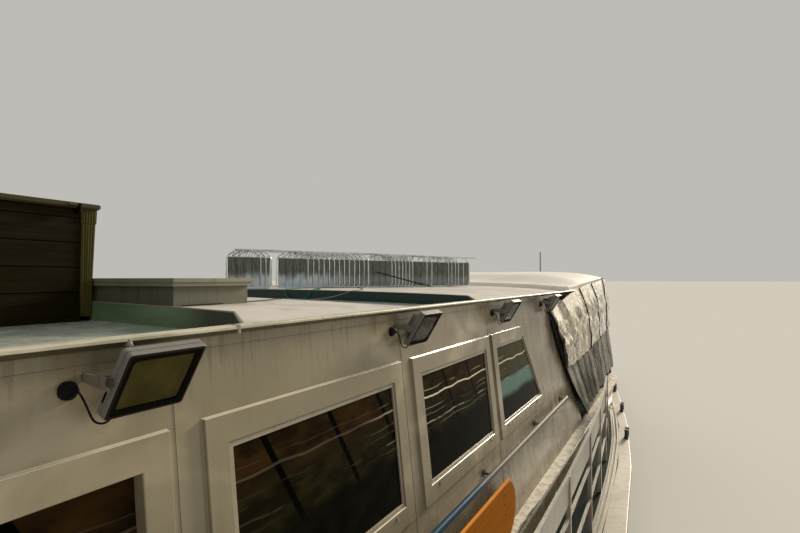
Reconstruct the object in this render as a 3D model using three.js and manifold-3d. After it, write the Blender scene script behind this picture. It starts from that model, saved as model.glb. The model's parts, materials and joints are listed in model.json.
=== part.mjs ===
import * as THREE from "three";
import { mergeVertices } from "three/addons/utils/BufferGeometryUtils.js";
import Module from "manifold-3d";

const wasm = await Module();
wasm.setup();

// A stern-wheel river passenger steamer. Millimetres; X runs forward to the bow, Y to port and Z up.
// The origin is at the waterline on the centreline.

// Driving dimensions
const SEAT = 0.3; // gap that touching pieces keep
const EDGE_HALF = 4300; // guard's outer edge from the centreline, amidships
const STEM_X = 18000;
const TRANSOM_X = -15400;
const DECK_Z = 900; // main deck amidships
const GUARD_WIDE = 250; // amidships
const GUARD_TAPER = 90; // and so much less from GUARD_TAPER_X forward
const GUARD_TAPER_X = 4000;
const SHEER_X = 2750; // where the deck starts to rise
const BOW_TURN_X = -3000; // where the sides start to round in to the bow
const GUARD_DEEP = 170;
const DECK_THICK = 40;

const WALL_THICK = 50;
const WALL_LEAN = 0.11; // the saloon's sides lean in by this much of their height
const ROOF_HALF = 3200;
const ROOF_Z = 3500; // roof's top at its edge
const ROOF_SEAT_Z = 3440; // the walls' tops
const CAMBER = 60;
const LEDGE_Z = 1500;
const LEDGE_OUT = 120;
const SALOON_AFT = -13000;
const RAKE_TOP_X = 953; // raked forward edge of the saloon at the roof
const RAKE_FOOT_X = 2691; // and at the ledge

const WINDOW_PITCH = 1700;
const WINDOW_LONG = 1330;
const WINDOW_LOW = 2350;
const WINDOW_HIGH = 3075;
const FRAME_WIDE = 110; // raised border round each window
const FRAME_PROUD = 18;
const LAST_WINDOW_X = -2121; // centre of the foremost square window
const RAKED_AFT = -1150; // the raked window's aft edge
const RAKED_SIDE = { foot: 300, lean: 0.71, border: 60 }; // its forward edge
const WINDOWS = 6;

const ROOF_AFT = -13300;
const ROOF_FORE = 5900;
const STEP_DEEP = 120; // depth of the roof's sunken bays
const CANOPY_AFT = 2900;
const CANOPY_FORE = 8600;
const CANOPY_TURN = 6500; // where the canopy's sides start to round in
const CANOPY_HALF = 3190;

const WHEEL_X = -17600;
const WHEEL_Z = 1450;
const WHEEL_R = 1850;
const WHEEL_HALF = 2700;
const FLOATS = 12;
const SHAFT_R = 100;
const BEAM_Y = 2950;

const PAINT = { cream: 0xb3a894, pale: 0xc9c7bd, dark: 0x2b2a28 };

// Shape helpers
function toSolid(geometry) {
  const bare = geometry.clone();
  bare.deleteAttribute("normal");
  bare.deleteAttribute("uv");
  const merged = mergeVertices(bare, 1e-3);
  const mesh = new wasm.Mesh({
    numProp: 3,
    vertProperties: merged.attributes.position.array,
    triVerts: new Uint32Array(merged.index.array),
  });
  return new wasm.Manifold(mesh);
}

function toGeometry(solid) {
  const mesh = solid.getMesh();
  const geometry = new THREE.BufferGeometry();
  geometry.setAttribute("position", new THREE.BufferAttribute(mesh.vertProperties, 3));
  geometry.setIndex(new THREE.BufferAttribute(mesh.triVerts, 1));
  return geometry;
}

function join(...geometries) {
  const sum = geometries.map(toSolid).reduce((total, next) => total.add(next));
  return toGeometry(sum);
}

function cut(base, ...tools) {
  const rest = tools.map(toSolid).reduce((total, next) => total.subtract(next), toSolid(base));
  return toGeometry(rest);
}

function common(base, tool) {
  return toGeometry(toSolid(base).intersect(toSolid(tool)));
}

function box(x, y, z) {
  const geometry = new THREE.BoxGeometry(x[1] - x[0], y[1] - y[0], z[1] - z[0]);
  return geometry.translate((x[0] + x[1]) / 2, (y[0] + y[1]) / 2, (z[0] + z[1]) / 2);
}

function extrude(points, depth) {
  const shape = new THREE.Shape(points.map(([u, v]) => new THREE.Vector2(u, v)));
  return new THREE.ExtrudeGeometry(shape, { depth, bevelEnabled: false });
}

const AXIS = {
  x: new THREE.Vector3(1, 0, 0),
  y: new THREE.Vector3(0, 1, 0),
  z: new THREE.Vector3(0, 0, 1),
};

// An outline of [y, z] points run along X.
function alongX(points, from, to) {
  const turn = new THREE.Matrix4().makeBasis(AXIS.y, AXIS.z, AXIS.x);
  return extrude(points, to - from).applyMatrix4(turn).translate(from, 0, 0);
}

// An outline of [x, z] points run along Y.
function alongY(points, from, to) {
  const turn = new THREE.Matrix4().makeBasis(AXIS.x, AXIS.z, AXIS.y.clone().negate());
  return extrude(points, to - from).applyMatrix4(turn).translate(0, to, 0);
}

// An outline of [x, y] points run up Z.
function alongZ(points, from, to) {
  return extrude(points, to - from).translate(0, 0, from);
}

function rod(from, to, radius, sides = 12) {
  const a = new THREE.Vector3(...from);
  const b = new THREE.Vector3(...to);
  const span = b.clone().sub(a);
  const geometry = new THREE.CylinderGeometry(radius, radius, span.length(), sides);
  const turn = new THREE.Quaternion().setFromUnitVectors(AXIS.y, span.normalize());
  return geometry.applyQuaternion(turn).translate(...a.add(b).multiplyScalar(0.5).toArray());
}

// A ring of flat bar round an axis along Y.
function hoop(x, y, z, inner, outer, thick, sides) {
  const half = thick / 2;
  const profile = [
    [inner, -half],
    [outer, -half],
    [outer, half],
    [inner, half],
    [inner, -half],
  ];
  const points = profile.map(([r, h]) => new THREE.Vector2(r, h));
  return new THREE.LatheGeometry(points, sides).translate(x, y, z);
}

// A closed body through sections that all have the same number of points, each end closed by a fan.
function loft(sections) {
  const count = sections[0].length;
  const last = sections.length - 1;
  const middle = (ring) => [0, 1, 2].map((axis) => ring.reduce((sum, p) => sum + p[axis], 0) / count);
  const points = [...sections.flat(), middle(sections[0]), middle(sections[last])];
  const index = [];
  for (let i = 0; i < count; i += 1) {
    const next = (i + 1) % count;
    for (let s = 0; s < last; s += 1) {
      const [a, b] = [s * count + i, s * count + next];
      index.push(a, b, b + count, a, b + count, a + count);
    }
    index.push(points.length - 2, next, i);
    index.push(points.length - 1, last * count + i, last * count + next);
  }
  const facing = insideOut(points, index) ? index.reverse() : index;
  const geometry = new THREE.BufferGeometry();
  geometry.setAttribute("position", new THREE.Float32BufferAttribute(points.flat(), 3));
  geometry.setIndex(facing);
  return geometry;
}

// True when the triangles of a closed body enclose a negative volume.
function insideOut(points, index) {
  let volume = 0;
  for (let i = 0; i < index.length; i += 3) {
    const [a, b, c] = [0, 1, 2].map((k) => new THREE.Vector3(...points[index[i + k]]));
    volume += a.dot(b.cross(c));
  }
  return volume < 0;
}

function raised(geometry, up) {
  return geometry.clone().translate(0, 0, up);
}

const boat = new THREE.Group();

function add(name, geometry, color, roughness = 0.5, metalness = 0) {
  const material = new THREE.MeshStandardMaterial({ color, roughness, metalness });
  const mesh = new THREE.Mesh(geometry, material);
  mesh.name = name;
  boat.add(mesh);
  return mesh;
}

// The starboard piece, and the same piece mirrored to port.
function addPair(name, geometry, color, roughness, metalness) {
  add(name + "_starboard", geometry, color, roughness, metalness);
  const port = add(name + "_port", geometry.clone(), color, roughness, metalness);
  port.scale.y = -1;
}

// Plan and sheer of the hull
function edgeHalf(x) {
  if (x > BOW_TURN_X) {
    const share = (x - BOW_TURN_X) / (STEM_X - BOW_TURN_X);
    return Math.max(EDGE_HALF * (1 - share ** 2.4), 60);
  }
  if (x < -9000) return EDGE_HALF - 700 * ((-x - 9000) / 6400) ** 2;
  return EDGE_HALF;
}

function deckZ(x) {
  return x > SHEER_X ? DECK_Z + 750 * ((x - SHEER_X) / (STEM_X - SHEER_X)) ** 2 : DECK_Z;
}

// Columns: x, keel's height, fullness of the section from 0 for a V to 1 for a U.
const STATIONS = [
  [TRANSOM_X, 120, 1],
  [-13000, -700, 1],
  [-9000, -950, 1],
  [BOW_TURN_X, -950, 1],
  [0, -950, 1],
  [SHEER_X, -950, 1],
  [5000, -950, 0.95],
  [7500, -950, 0.8],
  [10000, -950, 0.6],
  [12500, -940, 0.4],
  [14500, -900, 0.2],
  [16000, -760, 0.1],
  [17200, -150, 0],
  [18000, 1050, 0],
];
// Columns: share of the depth, half-breadth of a V section, half-breadth of a U section.
const SECTION = [
  [0, 1, 1],
  [0.36, 0.8, 0.985],
  [0.62, 0.58, 0.97],
  [0.83, 0.38, 0.92],
  [0.96, 0.2, 0.74],
  [1, 0.06, 0.3],
];

function shellHalf(x) {
  const taper = GUARD_TAPER * Math.min(Math.max(x / GUARD_TAPER_X, 0), 1);
  return Math.max(edgeHalf(x) - GUARD_WIDE + taper, 45);
}

function hullSection([x, keel, full]) {
  const top = deckZ(x) - DECK_THICK - SEAT;
  const half = shellHalf(x);
  const side = SECTION.map(([deep, vee, round]) => {
    const width = half * (vee + (round - vee) * full);
    return [x, width, top + (keel - top) * deep];
  });
  const other = side.map(([px, y, z]) => [px, -y, z]).reverse();
  return [...other, ...side];
}

const hullShell = loft(STATIONS.map(hullSection));

function deckSection([x]) {
  const half = shellHalf(x);
  const top = deckZ(x);
  const low = top - DECK_THICK;
  return [
    [x, -half, low],
    [x, half, low],
    [x, half, top],
    [x, -half, top],
  ];
}
const deck = loft(STATIONS.map(deckSection));

// A low landing plate inboard of each boarding gate, for a gangway's foot
const LANDING_X = [-14500, -13650];
const LANDING_Z = [DECK_Z - DECK_THICK / 2, DECK_Z + 8];
const landings = [
  [-3200, -2650],
  [2650, 3200],
].map((y) => box(LANDING_X, y, LANDING_Z));
add("main_deck", join(deck, ...landings), 0x35423c, 0.8);

// All that lies under the deck, to trim the feet of what stands on it
const underDeck = loft(
  STATIONS.map(([x]) => {
    const half = EDGE_HALF + 500;
    const top = deckZ(x) + SEAT;
    return [
      [x, -half, -1500],
      [x, half, -1500],
      [x, half, top],
      [x, -half, top],
    ];
  }),
);

function guardSection([x]) {
  const inner = -(shellHalf(x) + SEAT);
  const outer = -edgeHalf(x) - (x > 17000 ? 40 : 0);
  const top = deckZ(x);
  const low = top - GUARD_DEEP;
  return [
    [x, inner, low],
    [x, inner, top],
    [x, outer, top],
    [x, outer, low],
  ];
}
const guard = loft(STATIONS.slice(0, -1).map(guardSection));
addPair("guard", guard, PAINT.pale, 0.6);

// Saloon sides: outer face at a height, and the wall's section with its ledge
function wallOuter(z) {
  return z > LEDGE_Z ? ROOF_HALF + (ROOF_Z - z) * WALL_LEAN : ROOF_HALF + (ROOF_Z - LEDGE_Z) * WALL_LEAN;
}
const WALL_FOOT = wallOuter(LEDGE_Z);

function wallSection() {
  const foot = DECK_Z + SEAT;
  const top = ROOF_SEAT_Z - SEAT;
  return [
    [-wallOuter(top), top],
    [-WALL_FOOT, LEDGE_Z],
    [-WALL_FOOT - LEDGE_OUT, LEDGE_Z],
    [-WALL_FOOT - LEDGE_OUT, LEDGE_Z - 40],
    [-WALL_FOOT, LEDGE_Z - 60],
    [-WALL_FOOT, foot],
    [-WALL_FOOT + WALL_THICK, foot],
    [-WALL_FOOT + WALL_THICK, LEDGE_Z],
    [-wallOuter(top) + WALL_THICK, top],
  ];
}

function rakeX(z) {
  return RAKE_FOOT_X + ((RAKE_TOP_X - RAKE_FOOT_X) * (z - LEDGE_Z)) / (ROOF_Z - LEDGE_Z);
}
const AHEAD_OF_RAKE = [
  [rakeX(LEDGE_Z), LEDGE_Z],
  [rakeX(ROOF_Z), ROOF_Z],
  [RAKE_FOOT_X + 400, ROOF_Z],
  [RAKE_FOOT_X + 400, LEDGE_Z],
];

// Window outlines seen from the side, grown by a margin: six square ones and one with a raked forward edge
function windowOutlines(grow) {
  const low = WINDOW_LOW - grow;
  const high = WINDOW_HIGH + grow;
  const square = Array.from({ length: WINDOWS }, (_, i) => {
    const middle = LAST_WINDOW_X - i * WINDOW_PITCH;
    const half = WINDOW_LONG / 2 + grow;
    return [
      [middle - half, low],
      [middle + half, low],
      [middle + half, high],
      [middle - half, high],
    ];
  });
  const border = Math.min(grow, RAKED_SIDE.border);
  const forward = (z) => RAKED_SIDE.foot - (z - WINDOW_LOW) * RAKED_SIDE.lean + border;
  const raked = [
    [RAKED_AFT - grow, low],
    [forward(low), low],
    [forward(high), high],
    [RAKED_AFT - grow, high],
  ];
  return [...square, raked];
}

function frameBand() {
  const skin = [
    [-wallOuter(ROOF_SEAT_Z) - FRAME_PROUD, ROOF_SEAT_Z],
    [-WALL_FOOT - FRAME_PROUD, LEDGE_Z],
    [-WALL_FOOT + 10, LEDGE_Z],
    [-wallOuter(ROOF_SEAT_Z) + 10, ROOF_SEAT_Z],
  ];
  return alongX(skin, SALOON_AFT, RAKE_FOOT_X);
}
const SIDE_FROM = -WALL_FOOT - 300;
const SIDE_TO = -ROOF_HALF + 300;
const framePlates = windowOutlines(FRAME_WIDE).map((outline) => alongY(outline, SIDE_FROM, SIDE_TO));
const frames = framePlates.map((plate) => common(plate, frameBand()));
const windowHoles = windowOutlines(0).map((outline) => alongY(outline, SIDE_FROM, SIDE_TO));
const plainWall = alongX(wallSection(), SALOON_AFT, RAKE_FOOT_X);
const rakedWall = cut(plainWall, alongY(AHEAD_OF_RAKE, SIDE_FROM, SIDE_TO));
const sideWall = cut(join(rakedWall, ...frames), ...windowHoles);
addPair("side_wall", sideWall, PAINT.cream, 0.3);

// All that lies behind the side wall's outer face, to seat what is fixed on it
const behindWall = alongX(
  [
    [-wallOuter(LEDGE_Z + 1) - SEAT, LEDGE_Z + 1],
    [-wallOuter(ROOF_SEAT_Z) - SEAT, ROOF_SEAT_Z],
    [-2900, ROOF_SEAT_Z],
    [-2900, LEDGE_Z + 1],
  ],
  SALOON_AFT,
  RAKE_FOOT_X,
);

// One dark glass sheet behind each side's windows
const glassSkin = [
  [-wallOuter(WINDOW_HIGH + 60) + WALL_THICK + SEAT, WINDOW_HIGH + 60],
  [-wallOuter(WINDOW_LOW - 60) + WALL_THICK + SEAT, WINDOW_LOW - 60],
  [-wallOuter(WINDOW_LOW - 60) + WALL_THICK + 8, WINDOW_LOW - 60],
  [-wallOuter(WINDOW_HIGH + 60) + WALL_THICK + 8, WINDOW_HIGH + 60],
];
const glassEnd = [
  [rakeX(WINDOW_LOW - 60) - 1200, WINDOW_LOW - 60],
  [rakeX(WINDOW_HIGH + 60) - 1200, WINDOW_HIGH + 60],
  [3000, WINDOW_HIGH + 60],
  [3000, WINDOW_LOW - 60],
];
const glassAft = LAST_WINDOW_X - (WINDOWS - 1) * WINDOW_PITCH - WINDOW_LONG / 2 - 60;
const sideGlass = cut(alongX(glassSkin, glassAft, 900), alongY(glassEnd, SIDE_FROM, SIDE_TO));
addPair("side_glass", sideGlass, 0x14110c, 0.08);

// Inside of the saloon as a solid, to trim the cross pieces to the leaning walls
function insideSaloon(gap) {
  const top = ROOF_SEAT_Z - SEAT;
  const outline = [
    [-WALL_FOOT + WALL_THICK + gap, DECK_Z + SEAT],
    [WALL_FOOT - WALL_THICK - gap, DECK_Z + SEAT],
    [WALL_FOOT - WALL_THICK - gap, LEDGE_Z],
    [wallOuter(top) - WALL_THICK - gap, top],
    [-wallOuter(top) + WALL_THICK + gap, top],
    [-WALL_FOOT + WALL_THICK + gap, LEDGE_Z],
  ];
  return alongX(outline, SALOON_AFT - 100, RAKE_FOOT_X + 100);
}

// Roof: cambered, with two sunken bays whose forward corners are cut off
function roofTop(y) {
  return ROOF_Z + CAMBER * (1 - (y / ROOF_HALF) ** 2);
}
const ROOF_YS = [-3200, -2400, -1600, -800, 0, 800, 1600, 2400, 3200];
const roofOutline = [
  ...ROOF_YS.map((y) => [y, roofTop(y)]),
  [ROOF_HALF, ROOF_SEAT_Z],
  [3100, ROOF_SEAT_Z],
  [3080, 3320],
  [-3080, 3320],
  [-3100, ROOF_SEAT_Z],
  [-ROOF_HALF, ROOF_SEAT_Z],
];
const bayOutline = [
  ...ROOF_YS.map((y) => [y, roofTop(y) - STEP_DEEP]),
  [ROOF_HALF, 3700],
  [-ROOF_HALF, 3700],
];
const BAY_SIDE = 3140;
// Columns: aft end, forward end, length of the cut-off corner, its start from the centreline.
const BAYS = [
  [-7300, -3850, 450, 2640],
  [-2600, -500, 870, 2736],
];
const bayCuts = BAYS.map(([aft, fore, corner, start]) => {
  const plan = [
    [aft, -BAY_SIDE],
    [fore - corner, -BAY_SIDE],
    [fore, -start],
    [fore, start],
    [fore - corner, BAY_SIDE],
    [aft, BAY_SIDE],
  ];
  return common(alongX(bayOutline, aft - 10, fore + 10), alongZ(plan, 3300, 3800));
});
const STAIR_HATCH = box([-5700, -4150], [-450, 450], [3200, 3700]);
const roofSlab = alongX(roofOutline, ROOF_AFT, ROOF_FORE);
// Under the forward part the slab is only as thick as its edge.
const thinFore = box([RAKE_TOP_X - 60, ROOF_FORE + 10], [-3110, 3110], [3200, 3420]);
const HATCH_WELL = box([-3770, -3250], [-1900, 1900], [3200, 3700]);
const roof = cut(roofSlab, ...bayCuts, thinFore, STAIR_HATCH, HATCH_WELL);
const roofUp = raised(roof, SEAT);
const roofDown = raised(roof, -SEAT);
add("roof", roof, 0xb9bdb4, 0.6);

// Aft bulkhead with the double doorway
const DOORWAY_HALF = 700;
const DOORWAY_TOP = 2900;
const SILL_Z = DECK_Z + 60;
const bulkhead = common(
  box([SALOON_AFT + 10, SALOON_AFT + 60], [-3400, 3400], [DECK_Z, ROOF_SEAT_Z]),
  insideSaloon(SEAT),
);
const doorway = box(
  [SALOON_AFT - 50, SALOON_AFT + 100],
  [-DOORWAY_HALF, DOORWAY_HALF],
  [SILL_Z, DOORWAY_TOP],
);
add("aft_bulkhead", cut(bulkhead, doorway, roofDown), PAINT.cream, 0.35);

const DOOR_GAP = 6;
const DOOR_PIN_IN = 30; // hinge pin's distance from the jamb
const DOOR_EDGE_IN = 20; // hinged edge's distance from the jamb
function saloonDoor() {
  const pinY = -DOORWAY_HALF + DOOR_PIN_IN;
  const panel = box(
    [SALOON_AFT + 12, SALOON_AFT + 52],
    [-DOORWAY_HALF + DOOR_EDGE_IN, -DOOR_GAP / 2],
    [SILL_Z + DOOR_GAP, DOORWAY_TOP - DOOR_GAP],
  );
  const pane = box(
    [SALOON_AFT, SALOON_AFT + 80],
    [-DOORWAY_HALF + 120, -120],
    [1900, DOORWAY_TOP - 130],
  );
  const pivot = rod([SALOON_AFT + 32, pinY, SILL_Z + SEAT], [SALOON_AFT + 32, pinY, DOORWAY_TOP - SEAT], 9);
  return join(cut(panel, pane), pivot);
}
addPair("saloon_door", saloonDoor(), 0x6b4a2a, 0.4);

// Raked windscreen, in five panes, and the low wall under it
const SCREEN_THICK = 60;
const screenOutline = [
  [RAKE_FOOT_X - SCREEN_THICK, DECK_Z],
  [RAKE_FOOT_X, DECK_Z],
  [RAKE_FOOT_X, LEDGE_Z],
  [RAKE_TOP_X, ROOF_Z],
  [RAKE_TOP_X - SCREEN_THICK, ROOF_Z],
  [RAKE_FOOT_X - SCREEN_THICK, LEDGE_Z],
];
const screenPlate = common(alongY(screenOutline, -3400, 3400), insideSaloon(SEAT));
const PANES = 5;
const PANE_WIDE = 1120;
const PANE_PITCH = 1230;
const paneOutline = [
  [rakeX(2000) - 300, 2000],
  [rakeX(2000) + 300, 2000],
  [rakeX(3150) + 300, 3150],
  [rakeX(3150) - 300, 3150],
];
const paneHoles = Array.from({ length: PANES }, (_, i) => {
  const middle = (i - (PANES - 1) / 2) * PANE_PITCH;
  return alongY(paneOutline, middle - PANE_WIDE / 2, middle + PANE_WIDE / 2);
});
add("windscreen_frame", cut(screenPlate, ...paneHoles, roofDown), PAINT.cream, 0.35);

const screenGlassOutline = [
  [rakeX(1950) - SCREEN_THICK - 12, 1950],
  [rakeX(1950) - SCREEN_THICK - 1, 1950],
  [rakeX(3200) - SCREEN_THICK - 1, 3200],
  [rakeX(3200) - SCREEN_THICK - 12, 3200],
];
add("windscreen_glass", alongY(screenGlassOutline, -3080, 3080), 0x14110c, 0.08);

const TRIM_OUT = 62;
const trimOutline = [
  [-ROOF_HALF - SEAT, ROOF_SEAT_Z],
  [-ROOF_HALF - SEAT, 3516],
  [-ROOF_HALF - 34, 3518],
  [-ROOF_HALF - 54, 3508],
  [-ROOF_HALF - TRIM_OUT, 3488],
  [-ROOF_HALF - 50, 3456],
  [-ROOF_HALF - 30, ROOF_SEAT_Z],
];
addPair("roof_trim", alongX(trimOutline, ROOF_AFT, ROOF_FORE), 0x8b8262, 0.5);

// Planked companion casing over the stair, with two lids hinged along its sides
const CASING_X = [-5930, -3865];
const CASING_HALF = 1380;
const CASING_TOP = 4150;
const casingBlock = box(CASING_X, [-CASING_HALF, CASING_HALF], [3390, CASING_TOP]);
const casingHollow = box(
  [CASING_X[0] + 50, CASING_X[1] - 50],
  [-CASING_HALF + 50, CASING_HALF - 50],
  [3300, CASING_TOP + 10],
);
const EAR_Z = CASING_TOP + 18;
const HINGE_OUT = CASING_HALF + 62;
function casingEar(x, side) {
  const y = side * HINGE_OUT;
  const low = side * (CASING_HALF - 5);
  const [a, b] = y < low ? [y - 20, low] : [low, y + 20];
  return box([x - 12, x + 12], [a, b], [CASING_TOP - 90, EAR_Z + 18]);
}
const EAR_XS = [CASING_X[0] + 100, CASING_X[1] - 100];
const casingEars = EAR_XS.flatMap((x) => [casingEar(x, 1), casingEar(x, -1)]);
const PILASTER_WIDE = 65;
const pilasters = [-1, 1].flatMap((side) =>
  [CASING_X[0], CASING_X[1] - PILASTER_WIDE].map((x) => {
    const y = side * (CASING_HALF + 8);
    return box([x, x + PILASTER_WIDE], [y - 10, y + 10], [3390, CASING_TOP - 100]);
  }),
);
const casingShell = cut(join(casingBlock, ...pilasters), casingHollow);
const casing = cut(join(casingShell, ...casingEars), roofUp);
add("companion_casing", casing, 0x221c0c, 0.6);

const LID_THICK = 36;
const LID_FROM = EAR_XS[0] + 12 + SEAT;
const LID_TO = EAR_XS[1] - 12 - SEAT;
function companionLid() {
  const plate = box(
    [CASING_X[0] - 40, CASING_X[1] + 40],
    [-CASING_HALF - 36, -3],
    [CASING_TOP + SEAT, CASING_TOP + LID_THICK],
  );
  const rodPiece = rod([LID_FROM, -HINGE_OUT, EAR_Z], [LID_TO, -HINGE_OUT, EAR_Z], 14);
  const leaf = box([LID_FROM, LID_TO], [-HINGE_OUT, -CASING_HALF], [EAR_Z - 6, EAR_Z + 6]);
  const notches = EAR_XS.map((x) => {
    return box([x - 20, x + 20], [-HINGE_OUT - 60, -CASING_HALF + 12], [CASING_TOP - 10, EAR_Z + 60]);
  });
  return join(cut(plate, ...notches), rodPiece, leaf);
}
addPair("companion_lid", companionLid(), 0x3a341f, 0.6);

// Steep stair under the casing
const STAIR_HALF = 400;
const STAIR_STEPS = 9;
const STAIR_FOOT = [-5650, DECK_Z + SEAT];
const STAIR_HEAD = [-4300, 3300];
function stairPoint(share, dx, dz) {
  const x = STAIR_FOOT[0] + (STAIR_HEAD[0] - STAIR_FOOT[0]) * share + dx;
  const z = STAIR_FOOT[1] + (STAIR_HEAD[1] - STAIR_FOOT[1]) * share + dz;
  return [x, z];
}
const stringer = [stairPoint(0, 0, 0), stairPoint(0, 200, 0), stairPoint(1, 200, 0), stairPoint(1, 0, 0)];
const stairPieces = [
  alongY(stringer, -STAIR_HALF, -STAIR_HALF + 40),
  alongY(stringer, STAIR_HALF - 40, STAIR_HALF),
];
for (let i = 1; i < STAIR_STEPS; i += 1) {
  const [x, z] = stairPoint(i / STAIR_STEPS, 0, 0);
  stairPieces.push(box([x + 5, x + 195], [-STAIR_HALF + 20, STAIR_HALF - 20], [z - 15, z + 15]));
}
const stairCheek = box([-4310, -4090], [-STAIR_HALF, STAIR_HALF], [3240, 3319.5]);
add("companion_stair", join(...stairPieces, stairCheek), 0x6b4a2a, 0.6);

// Low grey hatch box with a two-layer lid hinged at its forward edge
const HATCH_X = [-3815, -3200];
const HATCH_HALF = 2120;
const HATCH_TOP = 3655;
const hatchShell = cut(
  box(HATCH_X, [-HATCH_HALF, HATCH_HALF], [3480, HATCH_TOP]),
  box([HATCH_X[0] + 40, HATCH_X[1] - 40], [-HATCH_HALF + 40, HATCH_HALF - 40], [3400, HATCH_TOP + 10]),
);
const HATCH_PIN_X = HATCH_X[1] + 62;
const HATCH_PIN_Z = HATCH_TOP + 24;
const HATCH_EARS = [-1700, 1700];
const hatchEars = HATCH_EARS.map((y) => {
  return box([HATCH_X[1] - 5, HATCH_PIN_X + 18], [y - 12, y + 12], [HATCH_TOP - 80, HATCH_PIN_Z + 18]);
});
add("hatch_box", cut(join(hatchShell, ...hatchEars), roofUp), 0x5a5a4c, 0.55);

const hatchPlates = join(
  box([HATCH_X[0] - 28, HATCH_X[1] + 34], [-HATCH_HALF - 34, HATCH_HALF + 34], [HATCH_TOP + 26, HATCH_TOP + 50]),
  box([HATCH_X[0] - 22, HATCH_X[1] + 24], [-HATCH_HALF - 24, HATCH_HALF + 24], [HATCH_TOP + SEAT, HATCH_TOP + 28]),
);
const hatchNotches = HATCH_EARS.map((y) => {
  return box([HATCH_X[1] - 12, HATCH_X[1] + 200], [y - 20, y + 20], [HATCH_TOP - 10, HATCH_TOP + 200]);
});
const hatchPin = rod(
  [HATCH_PIN_X, HATCH_EARS[0] + 12 + SEAT, HATCH_PIN_Z],
  [HATCH_PIN_X, HATCH_EARS[1] - 12 - SEAT, HATCH_PIN_Z],
  14,
);
const hatchLeaf = box(
  [HATCH_X[1], HATCH_PIN_X],
  [HATCH_EARS[0] + 12 + SEAT, HATCH_EARS[1] - 12 - SEAT],
  [HATCH_PIN_Z - 6, HATCH_PIN_Z + 6],
);
add("hatch_lid", join(cut(hatchPlates, ...hatchNotches), hatchPin, hatchLeaf), 0x7b7b66, 0.55);

// Aluminium chairs stowed in six stacks across the roof. Each has a slatted back under a hoop, and lies
// nested behind the one aft of it, at a small angle to the row. One long tube runs through all the hoops.
const CHAIR_ROW = { from: [-450, 800], to: [3950, -1120] };
const CHAIR_HALF = 250;
const CHAIR_THICK = 22;
const CHAIR_TURN = 0.3; // angle between a chair's back and the row
const CHAIR_TUBE = [
  [60, 5040],
  [50, 70],
  [528, 548],
];
// Columns: place of the first chair's forward edge along the row, number of chairs, pitch.
const CHAIR_STACKS = [
  [436, 3, 80],
  [1212, 13, 96],
  [2860, 7, 79],
  [3671, 2, 123],
  [4219, 4, 89],
  [4784, 1, 0],
];
const chairOutline = [
  [-CHAIR_HALF, 0],
  [CHAIR_HALF, 0],
  [CHAIR_HALF, 420],
  [190, 520],
  [90, 550],
  [-90, 550],
  [-190, 520],
  [-CHAIR_HALF, 420],
];
const underHoop = [
  [-205, 460],
  [205, 460],
  [120, 526],
  [-120, 526],
];
const chairBack = cut(
  alongY(chairOutline, -CHAIR_THICK / 2, CHAIR_THICK / 2),
  alongY(underHoop, -CHAIR_THICK, CHAIR_THICK),
  ...[-112, 0, 112].map((w) => box([w - 5, w + 5], [-CHAIR_THICK, CHAIR_THICK], [45, 430])),
);
function chairAt(edge) {
  const middle = [edge - CHAIR_HALF * Math.cos(CHAIR_TURN), CHAIR_HALF * Math.sin(CHAIR_TURN)];
  return chairBack.clone().rotateZ(-CHAIR_TURN).translate(...middle, 0);
}
function chairRow() {
  const [ax, ay] = CHAIR_ROW.from;
  const [bx, by] = CHAIR_ROW.to;
  const chairs = CHAIR_STACKS.flatMap(([edge, count, pitch]) => {
    return Array.from({ length: count }, (_, i) => chairAt(edge + i * pitch));
  });
  const row = join(...chairs, box(...CHAIR_TUBE));
  return row.rotateZ(Math.atan2(by - ay, bx - ax)).translate(ax, ay, roofTop(0) - 10);
}
add("deck_chairs", cut(chairRow(), roofUp), 0xb8bcc0, 0.35, 1);

// Bow canopy: a low dome with rounded front corners that lies on the roof's forward end
function canopyHalf(x, half, fore) {
  if (x <= CANOPY_TURN) return half;
  const share = Math.min((x - CANOPY_TURN) / (fore - CANOPY_TURN), 0.985);
  return half * Math.sqrt(1 - share ** 3);
}
function canopyEdge(x) {
  return 3525 + 175 * Math.min((x - CANOPY_AFT) / 4400, 1.1);
}
const CROWN = 200;
const LIP_WIDE = 45; // rim of the canopy that hangs below its dome
const LIP_DEEP = 70;
const ARCH = [-1, -0.85, -0.6, -0.3, 0, 0.3, 0.6, 0.85, 1];
function domeSection(x, inset, drop, low) {
  const half = canopyHalf(x, CANOPY_HALF, CANOPY_FORE) - inset;
  const edge = canopyEdge(x) - drop;
  const arch = ARCH.map((share) => [x, share * half, edge + CROWN * (1 - share ** 2)]);
  return [[x, -half, low(x)], [x, half, low(x)], ...arch.reverse()];
}
const DOME_XS = [2900, 4400, 5900, 6500, 7300, 7900, 8300, 8500, 8600];
const dome = loft(DOME_XS.map((x) => domeSection(x, 0, 0, (at) => canopyEdge(at) - LIP_DEEP)));
const UNDER_XS = [5950, 6500, 7300, 7900, 8300, 8500];
const under = loft(UNDER_XS.map((x) => domeSection(x, LIP_WIDE, LIP_WIDE, () => 3300)));
// The dome's aft edge bows forward over the roof.
const aftBow = ROOF_YS.map((y) => [CANOPY_AFT + 2500 * (1 - (y / ROOF_HALF) ** 2), y]);
const aftCut = alongZ([...aftBow, [2500, 3300], [2500, -3300]], 3300, 4100);
const canopy = cut(dome, roofUp, aftCut, under);
add("bow_canopy", canopy, 0xd8d2c0, 0.6);

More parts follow.
